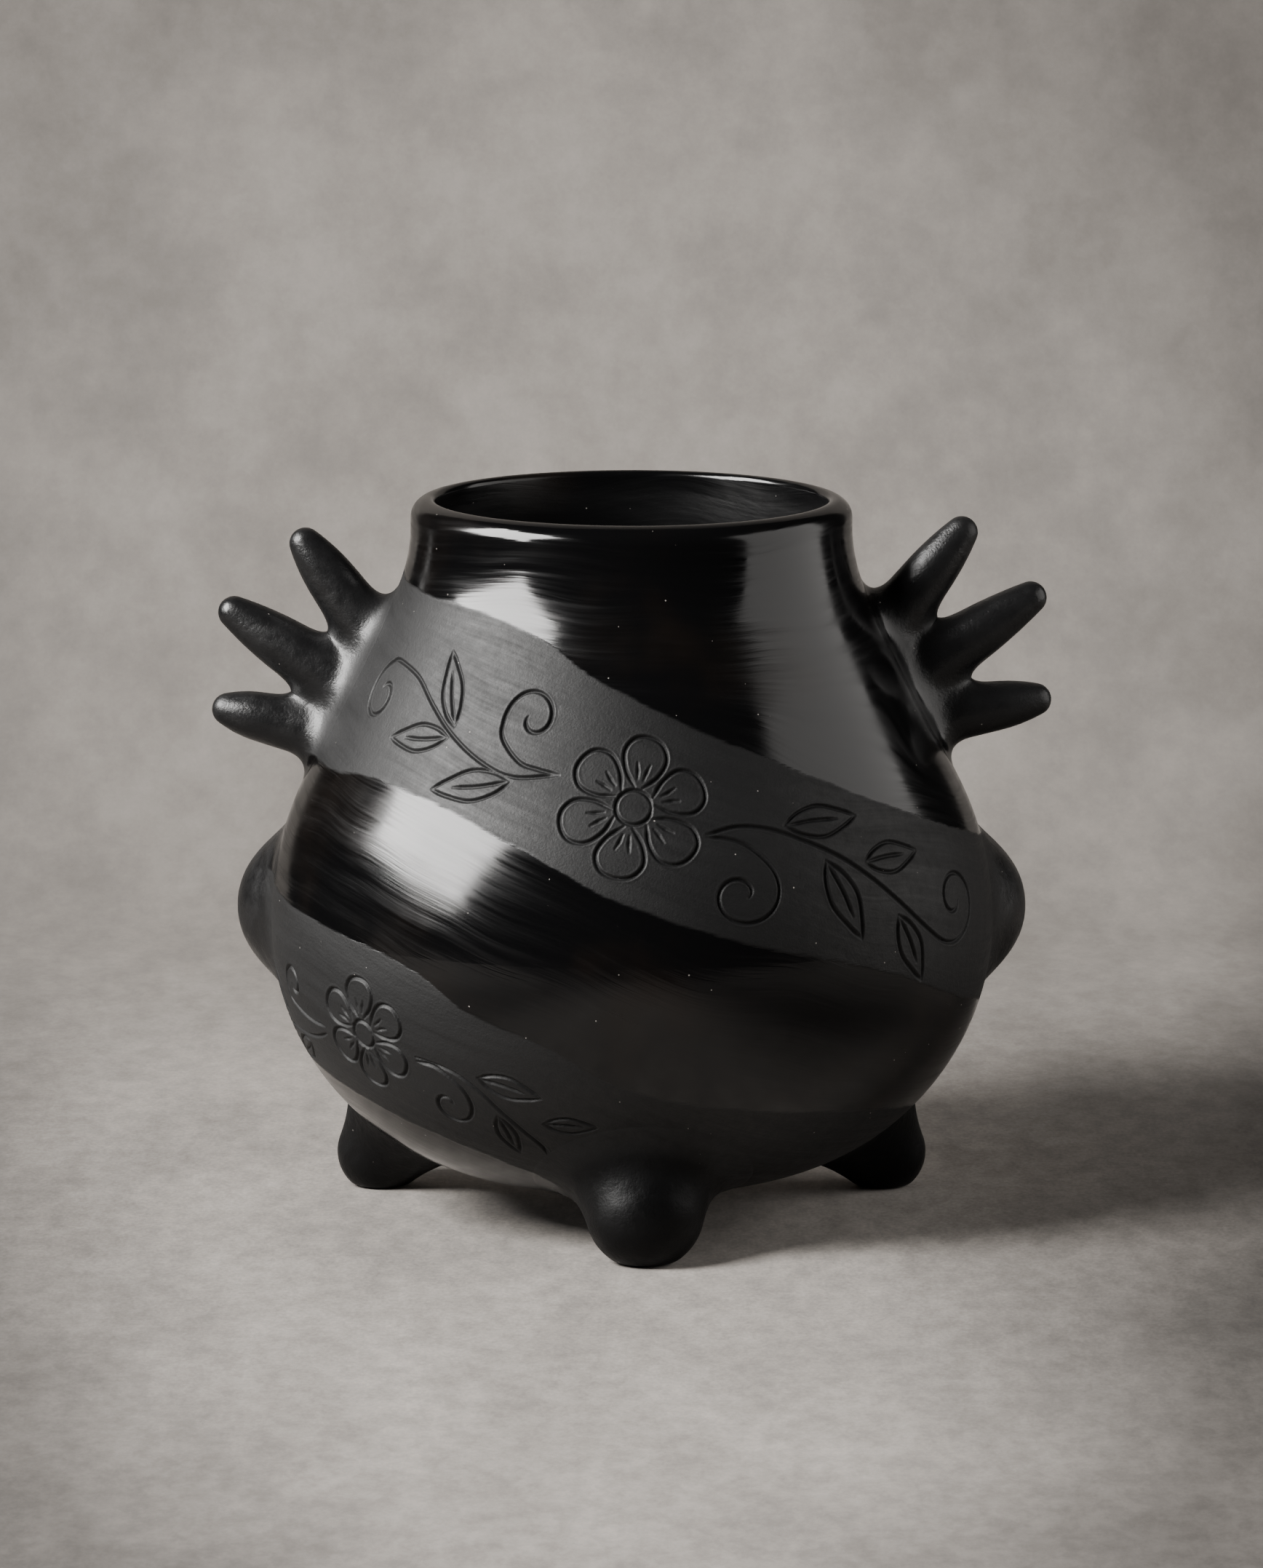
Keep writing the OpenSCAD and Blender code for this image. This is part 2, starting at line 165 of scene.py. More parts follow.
class JarApplied(bpy.types.PropertyGroup):
    """Sizes of the pieces that are luted onto the pot."""
    front_foot_out: length("Front foot out", "Distance of the front foot from the axis", 56)
    front_foot_turn: angle("Front foot turn", "Azimuth of the front foot", 3)
    front_foot_tip: length("Front foot tip", "Radius of the front foot's rounded tip", 13)
    rear_foot_out: length("Rear feet out", "Distance of the rear feet from the axis", 64.5)
    rear_foot_turn: angle("Rear feet turn", "Azimuth of the rear feet, to either side", 119)
    rear_foot_tip: length("Rear foot tip", "Radius of a rear foot's rounded tip", 9.8)
    foot_pad: length("Foot pad", "Radius of the flat that a foot stands on", 5.8)
    foot_lean: angle("Foot lean", "Outward lean of a foot from upright", 38)
    foot_flare: angle("Foot flare", "Flare of a foot's flank where it leaves the tip", 14)
    foot_flank: length("Foot flank", "Radius of the hollow flank that widens to the pot", 42)
    boss_turn: angle("Boss turn", "Azimuth of a boss, to either side", 107)
    boss_height: length("Boss height", "Height of a boss above the table", 65.8)
    boss_radius: length("Boss radius", "Radius of a boss's dome", 17.5)
    boss_proud: length("Boss proud", "How far a boss stands out from the widest line", 11.3)
    gill_turn: angle("Gill turn", "Azimuth of a gill fan, to either side", 94)
    left_heights: lengths("Left heights", "Where the left fingers start", (129.0, 117.7, 107.4))
    left_tilts: angles("Left tilts", "Tilts of the left fingers above level", (54, 33, 13))
    left_lengths: lengths("Left lengths", "Lengths of the left fingers", (29.1, 33.8, 25.9))
    right_heights: lengths("Right heights", "Where the right fingers start", (130.7, 120.0, 110.9))
    right_tilts: angles("Right tilts", "Tilts of the right fingers above level", (52, 33, 9))
    right_lengths: lengths("Right lengths", "Lengths of the right fingers", (30.8, 35.6, 27.4))
    joint_radii: lengths("Joint radii", "Radii at the joint with the root", (5.7, 6.2, 5.5))
    gill_swell: length("Gill swell", "Growth of a finger's radius from its joint to the shoulder", 1.1)
    gill_tip: length("Gill tip", "Radius of a finger's tip", 3.6)
    gill_joint: length("Gill joint", "Distance from the shoulder to a finger's joint", 15)
    crotch_blend: length("Crotch blend", "Size of the smoothed crotch between fingers", 5.6)
    gill_blend: length("Gill blend", "Size of the smoothed foot of a fan", 6.5)
    boss_blend: length("Boss blend", "Size of the smoothed foot of a boss", 9)
    foot_blend: length("Foot blend", "Size of the smoothed top of a foot", 6.5)


class JarCarving(bpy.types.PropertyGroup):
    """Sizes of the incised lines."""
    line_width: length("Line width", "Full width of an incised line", 1.15)
    line_depth: length("Line depth", "Depth of an incised line", 0.6)
    burr: length("Burr", "Height of the edge that the tool pushes up", 0.05)


class JarFinish(bpy.types.PropertyGroup):
    """Colours and finishes of the clay."""
    burnished: colour("Burnished clay", "Colour of the polished clay", (0.0034, 0.0034, 0.0037))
    smoke: colour("Smoke cloud", "Brownish tint that the fire leaves", (0.010, 0.0066, 0.0046))
    matte: colour("Matte clay", "Colour of the scraped bands", (0.0085, 0.0085, 0.0088))
    satin: colour("Satin clay", "Colour of the gills and bosses", (0.010, 0.010, 0.0105))
    foot: colour("Foot clay", "Colour of the unpolished feet", (0.0032, 0.0032, 0.0034))
    dust: colour("Dust", "Colour of pale specks in pits and scratches", (0.30, 0.28, 0.26))
    burnished_roughness: share("Burnished roughness", "Roughness of the polished clay", 0.15)
    matte_roughness: share("Matte roughness", "Roughness of the scraped bands", 0.58)
    satin_roughness: share("Satin roughness", "Roughness of the gills and bosses", 0.36)
    foot_roughness: share("Foot roughness", "Roughness of the feet", 0.5)


class JarStage(bpy.types.PropertyGroup):
    """Studio around the jar."""
    paper: colour("Paper", "Colour of the studio paper", (0.48, 0.446, 0.414))
    key_power: power("Key power", "Power of the softbox that the polish mirrors", 86.0)
    soft_power: power("Soft power", "Power of the light on paper and matte clay", 30.0)
    panel_power: power("Panel power", "Power of the dim panel on the right", 1.85)
    room: share("Room", "Brightness of the dark room", 0.012)


def outwards(azimuth):
    return Vector((math.sin(azimuth), -math.cos(azimuth), 0))


def evenly(start, end, spacing):
    count = max(1, round(abs(end - start) / spacing))
    return np.linspace(start, end, count + 1)


def smooth_step(value, low, high):
    t = np.clip((value - low) / (high - low), 0, 1)
    return t * t * (3 - 2 * t)


def smooth_min(a, b, size):
    """The lesser of two distances, with the crease between them filled as a wet finger fills it."""
    h = np.clip(0.5 + 0.5 * (b - a) / size, 0, 1)
    return b + (a - b) * h - size * h * (1 - h)


class PotForm:
    """Outside of the pot: two arcs, a cone and a neck that run into each other."""

    def __init__(self, pot):
        self.wall = pot.wall
        self.base_z = pot.base_gap
        self.belly_z = pot.belly_height
        self.belly_r = pot.belly_radius
        self.neck_r = pot.neck_radius
        self.neck_z = pot.neck_height
        self.mouth_z = pot.mouth_height
        self.wobble = pot.hand_wobble
        self.low_arc = self.belly_z - self.base_z
        self.low_r = self.belly_r - self.low_arc
        self.high_arc = pot.shoulder_arc
        self.high_r = self.belly_r - self.high_arc
        self.neck_arc = pot.neck_arc
        self.neck_c = self.neck_r + self.neck_arc
        across = self.neck_c - self.high_r
        up = self.neck_z - self.belly_z
        both_arcs = self.high_arc + self.neck_arc
        self.lean = math.atan2(up, across) - math.acos(both_arcs / math.hypot(across, up))
        self.cone_length = math.sqrt(across ** 2 + up ** 2 - both_arcs ** 2)
        self.cone_r = self.high_r + self.high_arc * math.cos(self.lean)
        self.cone_z = self.belly_z + self.high_arc * math.sin(self.lean)
        self.base_climb = -self.low_arc * math.pi / 2
        self.cone_climb = self.high_arc * self.lean
        self.neck_climb = self.cone_climb + self.cone_length
        self.top_climb = self.neck_climb + self.neck_arc * self.lean

    def outline(self, climb, inset=0.0):
        """Radius and height of the outside, or of a surface that lies inset within it."""
        climb = np.asarray(climb, float)
        low = climb / self.low_arc
        high = climb / self.high_arc
        up_cone = climb - self.cone_climb
        neck = self.lean - (climb - self.neck_climb) / self.neck_arc
        where = [climb < 0, climb < self.cone_climb, climb < self.neck_climb]
        r = np.select(where, [
            self.low_r + self.low_arc * np.cos(low),
            self.high_r + self.high_arc * np.cos(high),
            self.cone_r - up_cone * math.sin(self.lean),
        ], self.neck_c - self.neck_arc * np.cos(neck))
        z = np.select(where, [
            self.belly_z + self.low_arc * np.sin(low),
            self.belly_z + self.high_arc * np.sin(high),
            self.cone_z + up_cone * math.cos(self.lean),
        ], self.neck_z - self.neck_arc * np.sin(neck))
        facing = np.select(where, [low, high, np.full_like(climb, self.lean)], neck)
        return r - inset * np.cos(facing), z - inset * np.sin(facing)

    def rows(self, start, end, spacing, inset=0.0):
        r, z = self.outline(evenly(start, end, spacing), inset)
        return list(zip(r.tolist(), z.tolist()))

    def scarf(self, at_r, at_z):
        """Climbs at which a joint that slants through the wall meets its outside and its inside."""
        climb = np.linspace(self.base_climb, self.top_climb, 20001)
        ends = []
        for inset in (0.0, self.wall):
            r, z = self.outline(climb, inset)
            side = (z - at_z) - (r - at_r)
            ends.append(float(np.interp(0, side, climb)))
        return ends

    def hand(self, azimuth, z):
        """How far out the hand left the wall. It dies out towards the flat base."""
        wave = sum(part * np.sin(count * azimuth + rate * z + phase)
                   for part, count, rate, phase in HAND_WAVES)
        return self.wobble * wave * smooth_step(z, *(self.base_z + rise for rise in HAND_RANGE))

    def distance(self, points):
        """Signed distance of points from the outside, negative in the clay and the hollow."""
        x, y, z = points.T
        r = np.hypot(x, y)
        along = -(r - self.cone_r) * math.sin(self.lean) + (z - self.cone_z) * math.cos(self.lean)
        from_cone = (r - self.cone_r) * math.cos(self.lean) + (z - self.cone_z) * math.sin(self.lean)
        true = np.select(
            [
                (z < self.belly_z) & (r < self.low_r),
                z < self.belly_z,
                along < 0,
                along < self.cone_length,
                z < self.neck_z,
            ],
            [
                self.base_z - z,
                np.hypot(r - self.low_r, z - self.belly_z) - self.low_arc,
                np.hypot(r - self.high_r, z - self.belly_z) - self.high_arc,
                from_cone,
                self.neck_arc - np.hypot(r - self.neck_c, z - self.neck_z),
            ],
            r - self.neck_r,
        )
        return true - self.hand(np.arctan2(x, -y), z)

    def place(self, azimuth, climb):
        """Points of the outside at azimuths and climbs."""
        r, z = self.outline(climb)
        points = np.stack([r * np.sin(azimuth), -r * np.cos(azimuth), z], axis=-1)
        return self.seat(points)

    def seat(self, points):
        """The points, drawn onto the outside."""
        return drawn_onto(points, self.distance)

    def facing(self, points):
        return gradient(self.distance, points)


def gradient(field, points, step=0.02 * MM):
    """Unit normals of a distance field."""
    slopes = []
    for axis in np.eye(3):
        slopes.append(field(points + axis * step) - field(points - axis * step))
    slopes = np.stack(slopes, axis=-1)
    return slopes / np.maximum(np.linalg.norm(slopes, axis=-1, keepdims=True), 1e-12)


def drawn_onto(points, field, rounds=3):
    """The points, moved onto the surface where the field is zero."""
    for _ in range(rounds):
        points = points - field(points)[:, None] * gradient(field, points)
    return points


def places(bm):
    return np.array([v.co for v in bm.verts])


def move_to(bm, points):
    for v, point in zip(bm.verts, points):
        v.co = point


def mark(bm, name, values):
    """Keeps a number for every vertex, which the materials read by its name."""
    layer = bm.verts.layers.float.get(name) or bm.verts.layers.float.new(name)
    for v, value in zip(bm.verts, values):
        v[layer] = float(value)


def mark_sharp(bm, limit=math.radians(35)):
    for edge in bm.edges:
        if edge.calc_face_angle(0) > limit:
            edge.smooth = False


def linked(name, data):
    """A new object in the scene."""
    made = bpy.data.objects.new(name, data)
    bpy.context.scene.collection.objects.link(made)
    return made


def smooth_object(bm, name, material):
    """The smoothly shaded object of a finished mesh."""
    for face in bm.faces:
        face.smooth = True
    mesh = bpy.data.meshes.new(name)
    bm.to_mesh(mesh)
    bm.free()
    mesh.materials.append(material)
    return linked(name, mesh)


def finish_piece(bm, node, slot):
    """Makes the object of one piece, which stands for its CAD node."""
    bmesh.ops.recalc_face_normals(bm, faces=bm.faces[:])
    piece = smooth_object(bm, f"clay_{node}", clay(slot))
    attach(piece, "root")
    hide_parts(node)


# Pot

def spun(section, centre, axis, out, steps, closed=False):
    """Spins a section of (distance from the axis, distance along it) all the way round."""
    bm = bmesh.new()
    verts = [bm.verts.new(centre + out * r + axis * h) for r, h in section]
    edges = [bm.edges.new(pair) for pair in zip(verts, verts[1:])]
    if closed:
        edges.append(bm.edges.new((verts[-1], verts[0])))
    bmesh.ops.spin(bm, geom=verts + edges, cent=centre, axis=axis, angle=TAU, steps=steps, use_merge=True)
    bmesh.ops.remove_doubles(bm, verts=bm.verts[:], dist=MERGE)
    bmesh.ops.recalc_face_normals(bm, faces=bm.faces[:])
    return bm


def spun_wall(form, section, closed):
    """A ring of the pot's wall, with the hand's wobble in it and its unpolished inside marked."""
    bm = spun(section, Vector(), UP, outwards(0), SPIN_STEPS, closed)
    mark_sharp(bm)
    points = places(bm)
    inside = form.distance(points) < -INNER_SHARE * form.wall
    inside = inside * smooth_step(form.mouth_z - points[:, 2], POLISH_START * MOUTH_POLISH, MOUTH_POLISH)
    azimuth = np.arctan2(points[:, 0], -points[:, 1])
    points[:, :2] *= 1 + (form.hand(azimuth, points[:, 2]) / np.maximum(
        np.hypot(points[:, 0], points[:, 1]), MM))[:, None]
    move_to(bm, points)
    mark(bm, "inside", inside)
    return bm


def belly_joint(form):
    return form.scarf(form.belly_r - form.wall / 2, form.belly_z)


def rim_joint(form, pot):
    rise = form.neck_z - pot.rim_joint
    joint_r = form.neck_c - math.sqrt(form.neck_arc ** 2 - rise ** 2)
    return form.scarf(joint_r - form.wall / 2, pot.rim_joint)


def quarter_turn(centre_r, centre_z, radius, start, end):
    """Part of a circle in a section, between two angles in degrees."""
    start, end = math.radians(start), math.radians(end)
    turns = evenly(start, end, LIP_ROW / radius)
    return [(centre_r + radius * math.cos(a), centre_z + radius * math.sin(a)) for a in turns]


def bowl_section(form):
    outer_end, inner_end = belly_joint(form)
    outside = form.rows(form.base_climb, outer_end, ROW)
    inside = form.rows(inner_end, form.base_climb, INNER_ROW, form.wall)
    floor_z = form.base_z + form.wall
    return [(0, form.base_z), (form.low_r / 2, form.base_z), *outside, *inside,
            (form.low_r / 2, floor_z), (0, floor_z)]


def shoulder_section(form, pot):
    outer_start, inner_start = belly_joint(form)
    outer_end, inner_end = rim_joint(form, pot)
    return [*form.rows(outer_start, outer_end, ROW),
            *form.rows(inner_end, inner_start, INNER_ROW, form.wall)]


def rim_section(form, pot):
    outer_start, inner_start = rim_joint(form, pot)
    crown_r = form.neck_r - pot.lip_round
    inner_round = form.wall - pot.lip_round
    return [*form.rows(outer_start, form.top_climb, 2 * LIP_ROW),
            *quarter_turn(crown_r, pot.mouth_height - pot.lip_round, pot.lip_round, 0, 90),
            *quarter_turn(crown_r, pot.mouth_height - inner_round, inner_round, 90, 180)[1:],
            *form.rows(form.top_climb, inner_start, ROW, form.wall)]


# Incised lines. Shapes are drawn flat in millimetres, u to the right and v up, about a flower.

LINE_SPACING = 0.2
PETALS = 6

# A line starts at this share of its depth and is full after this many mm. Where it is shallow it keeps at
# least this share of its width
LINE_START = 0.35
LINE_TAPER = 2.2
LINE_NARROW = 0.45

# How steeply a groove falls, and where its burr stands and how broad it is, in half widths
GROOVE_POWER = 1.4
BURR_AT = 1.3
BURR_SPREAD = 0.35

# Size of a face of the spun wall before it is refined
SPIN_CELL = TAU * 80 * MM / SPIN_STEPS


def through(points):
    """A smooth line through points, as evenly spaced points."""
    points = np.asarray(points, float)
    ends = np.vstack([2 * points[0] - points[1], points, 2 * points[-1] - points[-2]])
    t = np.linspace(0, 1, 24, endpoint=False)[:, None]
    curve = []
    for a, b, c, d in zip(ends, ends[1:], ends[2:], ends[3:]):
        curve.append(0.5 * (2 * b + (c - a) * t + (2 * a - 5 * b + 4 * c - d) * t ** 2
                            + (3 * b - 3 * c + d - a) * t ** 3))
    curve = np.vstack([*curve, points[-1:]])
    run = np.concatenate([[0], np.cumsum(np.linalg.norm(np.diff(curve, axis=0), axis=1))])
    even = np.linspace(0, run[-1], max(2, round(run[-1] / LINE_SPACING)))
    return np.stack([np.interp(even, run, curve[:, 0]), np.interp(even, run, curve[:, 1])], axis=-1)


def curl(centre, start_r, end_r, start, sweep):
    """Points of a closing scroll, with its angles in degrees."""
    t = np.linspace(0, 1, max(4, round(abs(sweep) / 25)))
    turn = np.radians(start + sweep * t)
    r = start_r + (end_r - start_r) * t ** 0.8
    return np.stack([centre[0] + r * np.cos(turn), centre[1] + r * np.sin(turn)], axis=-1)


def turned(points, degrees):
    c, s = math.cos(math.radians(degrees)), math.sin(math.radians(degrees))
    return np.asarray(points, float) @ np.array([[c, s], [-s, c]])


def flower(petal_length, first_turn):
    """Six round petals with two veins each, about a ring."""
    size = petal_length / 16.2
    side = np.array([(4.6, 0.9), (8, 3.8), (12, 5), (15.2, 3.3), (16.2, 0)]) * size
    petal = np.vstack([side, (side * [1, -1])[-2::-1]])
    lines = [through(curl((0, 0), 3.9 * size, 3.9 * size, 0, 360))]
    for k in range(PETALS):
        turn = first_turn + 360 / PETALS * k
        lines.append(through(turned(petal, turn)))
        for flip in (1, -1):
            vein = np.array([(6.4, 0.7 * flip), (8.2, 1.0 * flip), (10, 1.5 * flip)]) * size
            lines.append(through(turned(vein, turn)))
    return lines


def leaf(base, tip, width):
    """Two bowed sides from a base to a tip, and the vein between them."""
    base, tip = np.array(base, float), np.array(tip, float)
    along = tip - base
    across = np.array([-along[1], along[0]]) / np.linalg.norm(along) * width / 2
    lines = []
    for side in (1, -1):
        lines.append(through([base, base + 0.22 * along + 0.72 * side * across,
                              base + 0.5 * along + side * across,
                              base + 0.8 * along + 0.5 * side * across, tip]))
    lines.append(through([base + 0.06 * along, base + 0.4 * along + 0.1 * across, base + 0.72 * along]))
    return lines


def upper_sprig():
    """Flower and vine of the upper turn of the band."""
    lines = flower(16.2, 16)
    stem = [(-17, 7), (-28, 6), (-37, 9), (-47, 14.5), (-56, 20.5), (-65, 26)]
    lines.append(through([*stem, *curl((-77.5, 20.3), 8.3, 2, 80, 410)]))
    lines.append(through([(-17, 7), (-22, 8), (-27, 9.5), *curl((-25, 19.5), 8.8, 1.6, 215, -410)]))
    stem = [(15, -6.5), (22, -5), (29, -6), (36, -9), (44, -13.5), (51, -19), (57.5, -25), (64, -31),
            (70, -35.5)]
    lines.append(through([*stem, *curl((76.5, -27.5), 9.5, 1.6, -100, 430)]))
    lines.append(through([(15, -7), (19, -7.5), (23, -9), *curl((21.3, -20), 9.4, 1.5, 58, -450)]))
    for base, tip, width in (
        ((-46.5, 16), (-55, 33), 6.2), ((-47.5, 13.5), (-66.5, 11.5), 6.2), ((-28, 5), (-48, 1.5), 7),
        ((32.5, -5.5), (51, -5), 7), ((50, -15.5), (66, -15), 6.6),
        ((40.5, -14), (47, -32), 6.6), ((57, -28), (63.5, -43.5), 6.2),
    ):
        lines.extend(leaf(base, tip, width))
    return lines


def lower_sprig():
    """Flower and vine of the lower turn, which winds on round the left of the pot."""
    lines = flower(13.2, 25)
    lines.append(through([(-15.6, -0.6), (-22.8, 0), *curl((-28.3, 7.3), 5.6, 1.3, 235, -400)]))
    lines.append(through([(15, -3.5), (24, -6), (30, -10.5), (34, -15.5), (39, -22), (43, -28), (45, -37)]))
    lines.append(through([(15, -4.5), (20, -5.5), *curl((20.5, -15.5), 7.6, 1.2, 58, -400)]))
    lines.append(through([(-15.6, -2.4), (-21, -4), (-27.3, -4.7), (-34, -4.6), (-41.5, -4.4)]))
    for base, tip, width in (
        ((30.5, -7), (45.5, -11.5), 5.6), ((33, -17.5), (35, -30), 5), ((44.5, -19), (58, -19.5), 4.6),
        ((-28.5, -6.9), (-42, -12), 5.4), ((-40, -1.6), (-50, 10), 5.4), ((-41, -5), (-55, -6), 5.2),
    ):
        lines.extend(leaf(base, tip, width))
    return lines


def level_sprig():
    """The upper sprig, drawn smaller and level for the back of the pot."""
    lines = []
    for line in upper_sprig():
        lines.append(0.82 * np.stack([line[:, 0], line[:, 1] + 0.42 * line[:, 0]], axis=-1))
    return lines


# Each sprig with its flower's azimuth in degrees, its climb in mm and the mm in a degree of azimuth
SPRIGS = ((upper_sprig, 0.4, 38.2, 1.2235), (lower_sprig, -49, -17.1, 1.353), (level_sprig, 180, -6, 1.39))


def carved_lines(form):
    """Points on the pot along every incised line, with how full the line is there."""
    points = []
    fullness = []
    for sprig, azimuth, climb, per_degree in SPRIGS:
        for line in sprig():
            turn = np.radians(azimuth + line[:, 0] / per_degree)
            points.append(form.place(turn, (climb + line[:, 1]) * MM))
            run = np.arange(len(line)) * LINE_SPACING
            to_end = np.minimum(run, run[-1] - run)
            fullness.append(np.clip(LINE_START + (1 - LINE_START) * to_end / LINE_TAPER, 0, 1))
    return np.vstack(points), np.concatenate(fullness)


def incise(bm, form, carving):
    """Cuts the incised lines into a ring of the wall, on a mesh that is refined along them."""
    points, fullness = carved_lines(form)
    tree = KDTree(len(points))
    for i, point in enumerate(points):
        tree.insert(point, i)
    tree.balance()
    half = carving.line_width / 2
    reach = 2 * half
    for level in range(FINE_LEVELS):
        cell = 0.75 * SPIN_CELL / 2 ** level
        near = [f for f in bm.faces if tree.find(f.calc_center_median())[2] < reach + cell]
        edges = list({e for f in near for e in f.edges})
        bmesh.ops.subdivide_edges(bm, edges=edges, cuts=1, use_grid_fill=True, use_single_edge=True)
        fresh = [v for v in bm.verts if tree.find(v.co)[2] < reach + 2 * cell]
        seated = form.seat(np.array([v.co for v in fresh]))
        for v, point in zip(fresh, seated):
            v.co = point
    layer = bm.verts.layers.float.new("incised")
    cut = [v for v in bm.verts if tree.find(v.co)[2] < reach]
    normals = form.facing(np.array([v.co for v in cut]))
    for v, normal in zip(cut, normals):
        deepest = 0.0
        pushed = 0.0
        for _, i, gap in tree.find_range(v.co, reach):
            full = fullness[i]
            t = gap / (half * (LINE_NARROW + (1 - LINE_NARROW) * full))
            if t < 1:
                deepest = max(deepest, full * math.cos(t * math.pi / 2) ** GROOVE_POWER)
            pushed = max(pushed, full * math.exp(-((t - BURR_AT) / BURR_SPREAD) ** 2))
        v[layer] = deepest
        rise = carving.burr * pushed * (1 - deepest) - carving.line_depth * deepest
        v.co += Vector(normal) * rise


# Luted pieces: a seed shape is melted into one skin, which is then drawn onto a smoothed form

def pot_patch(form, centre, half_sizes):
    """A plate of clay under the pot's skin, about the point of the outside that is nearest to centre."""
    centre = form.seat(np.array([centre]))
    normal = Vector(form.facing(centre)[0])
    across = normal.cross(UP).normalized()
    up = across.cross(normal)
    bm = bmesh.new()
    bmesh.ops.create_grid(bm, x_segments=36, y_segments=36, size=1)
    flat = places(bm)
    spread = np.hypot(flat[:, 0], flat[:, 1])
    square = np.maximum(np.abs(flat[:, 0]), np.abs(flat[:, 1]))
    flat[:, :2] *= (square / np.maximum(spread, 1e-9))[:, None]
    half_across, half_up = half_sizes
    points = centre + flat[:, :1] * np.array(across) * half_across + flat[:, 1:2] * np.array(up) * half_up
    points = form.seat(points)
    move_to(bm, points - form.facing(points) * SINK)
    bmesh.ops.recalc_face_normals(bm, faces=bm.faces[:])
    if Vector(bm.faces[:][0].normal).dot(normal) < 0:
        bmesh.ops.reverse_faces(bm, faces=bm.faces[:])
    bmesh.ops.solidify(bm, geom=bm.faces[:], thickness=LUTE_DEPTH)
    return bm


def melted(seeds, voxel):
    """One closed skin round the seed shapes."""
    mesh = bpy.data.meshes.new("seed")
    whole = bmesh.new()
    for seed in seeds:
        bmesh.ops.recalc_face_normals(seed, faces=seed.faces[:])
        seed.to_mesh(mesh)
        seed.free()
        whole.from_mesh(mesh)
    whole.to_mesh(mesh)
    whole.free()
    lump = linked("seed", mesh)
    melt = lump.modifiers.new("melt", "REMESH")
    melt.mode = "VOXEL"
    melt.voxel_size = voxel
    skin = lump.evaluated_get(bpy.context.evaluated_depsgraph_get()).to_mesh()
    bm = bmesh.new()
    bm.from_mesh(skin)
    bpy.data.objects.remove(lump)
    bpy.data.meshes.remove(mesh)
    return bm


def under_skin(form, points, away, blend):
    """The pot's outside as a luted piece meets it, which the piece's edge leaves for the wall's inside."""
    return form.distance(points) + SINK + DIVE * smooth_step(away, *(part * blend for part in DIVE_RANGE))


def luted(form, seeds, field, voxel, rounds=5):
    """Seed shapes melted into one skin and drawn onto a field, down to where the pot's wall hides it."""
    bm = melted(seeds, voxel)
    for _ in range(rounds):
        points = places(bm)
        free = smooth_step(form.distance(points), *FREE_RANGE)
        loose = [v for v, f in zip(bm.verts, free) if f > 0.5]
        bmesh.ops.smooth_vert(bm, verts=loose, factor=0.5, use_axis_x=True, use_axis_y=True, use_axis_z=True)
        points = places(bm)
        on_field = drawn_onto(points, field, 2)
        move_to(bm, points + free[:, None] * (on_field - points))
    mark(bm, "raised", smooth_step(form.distance(places(bm)), *RAISED_RANGE))
    return bm


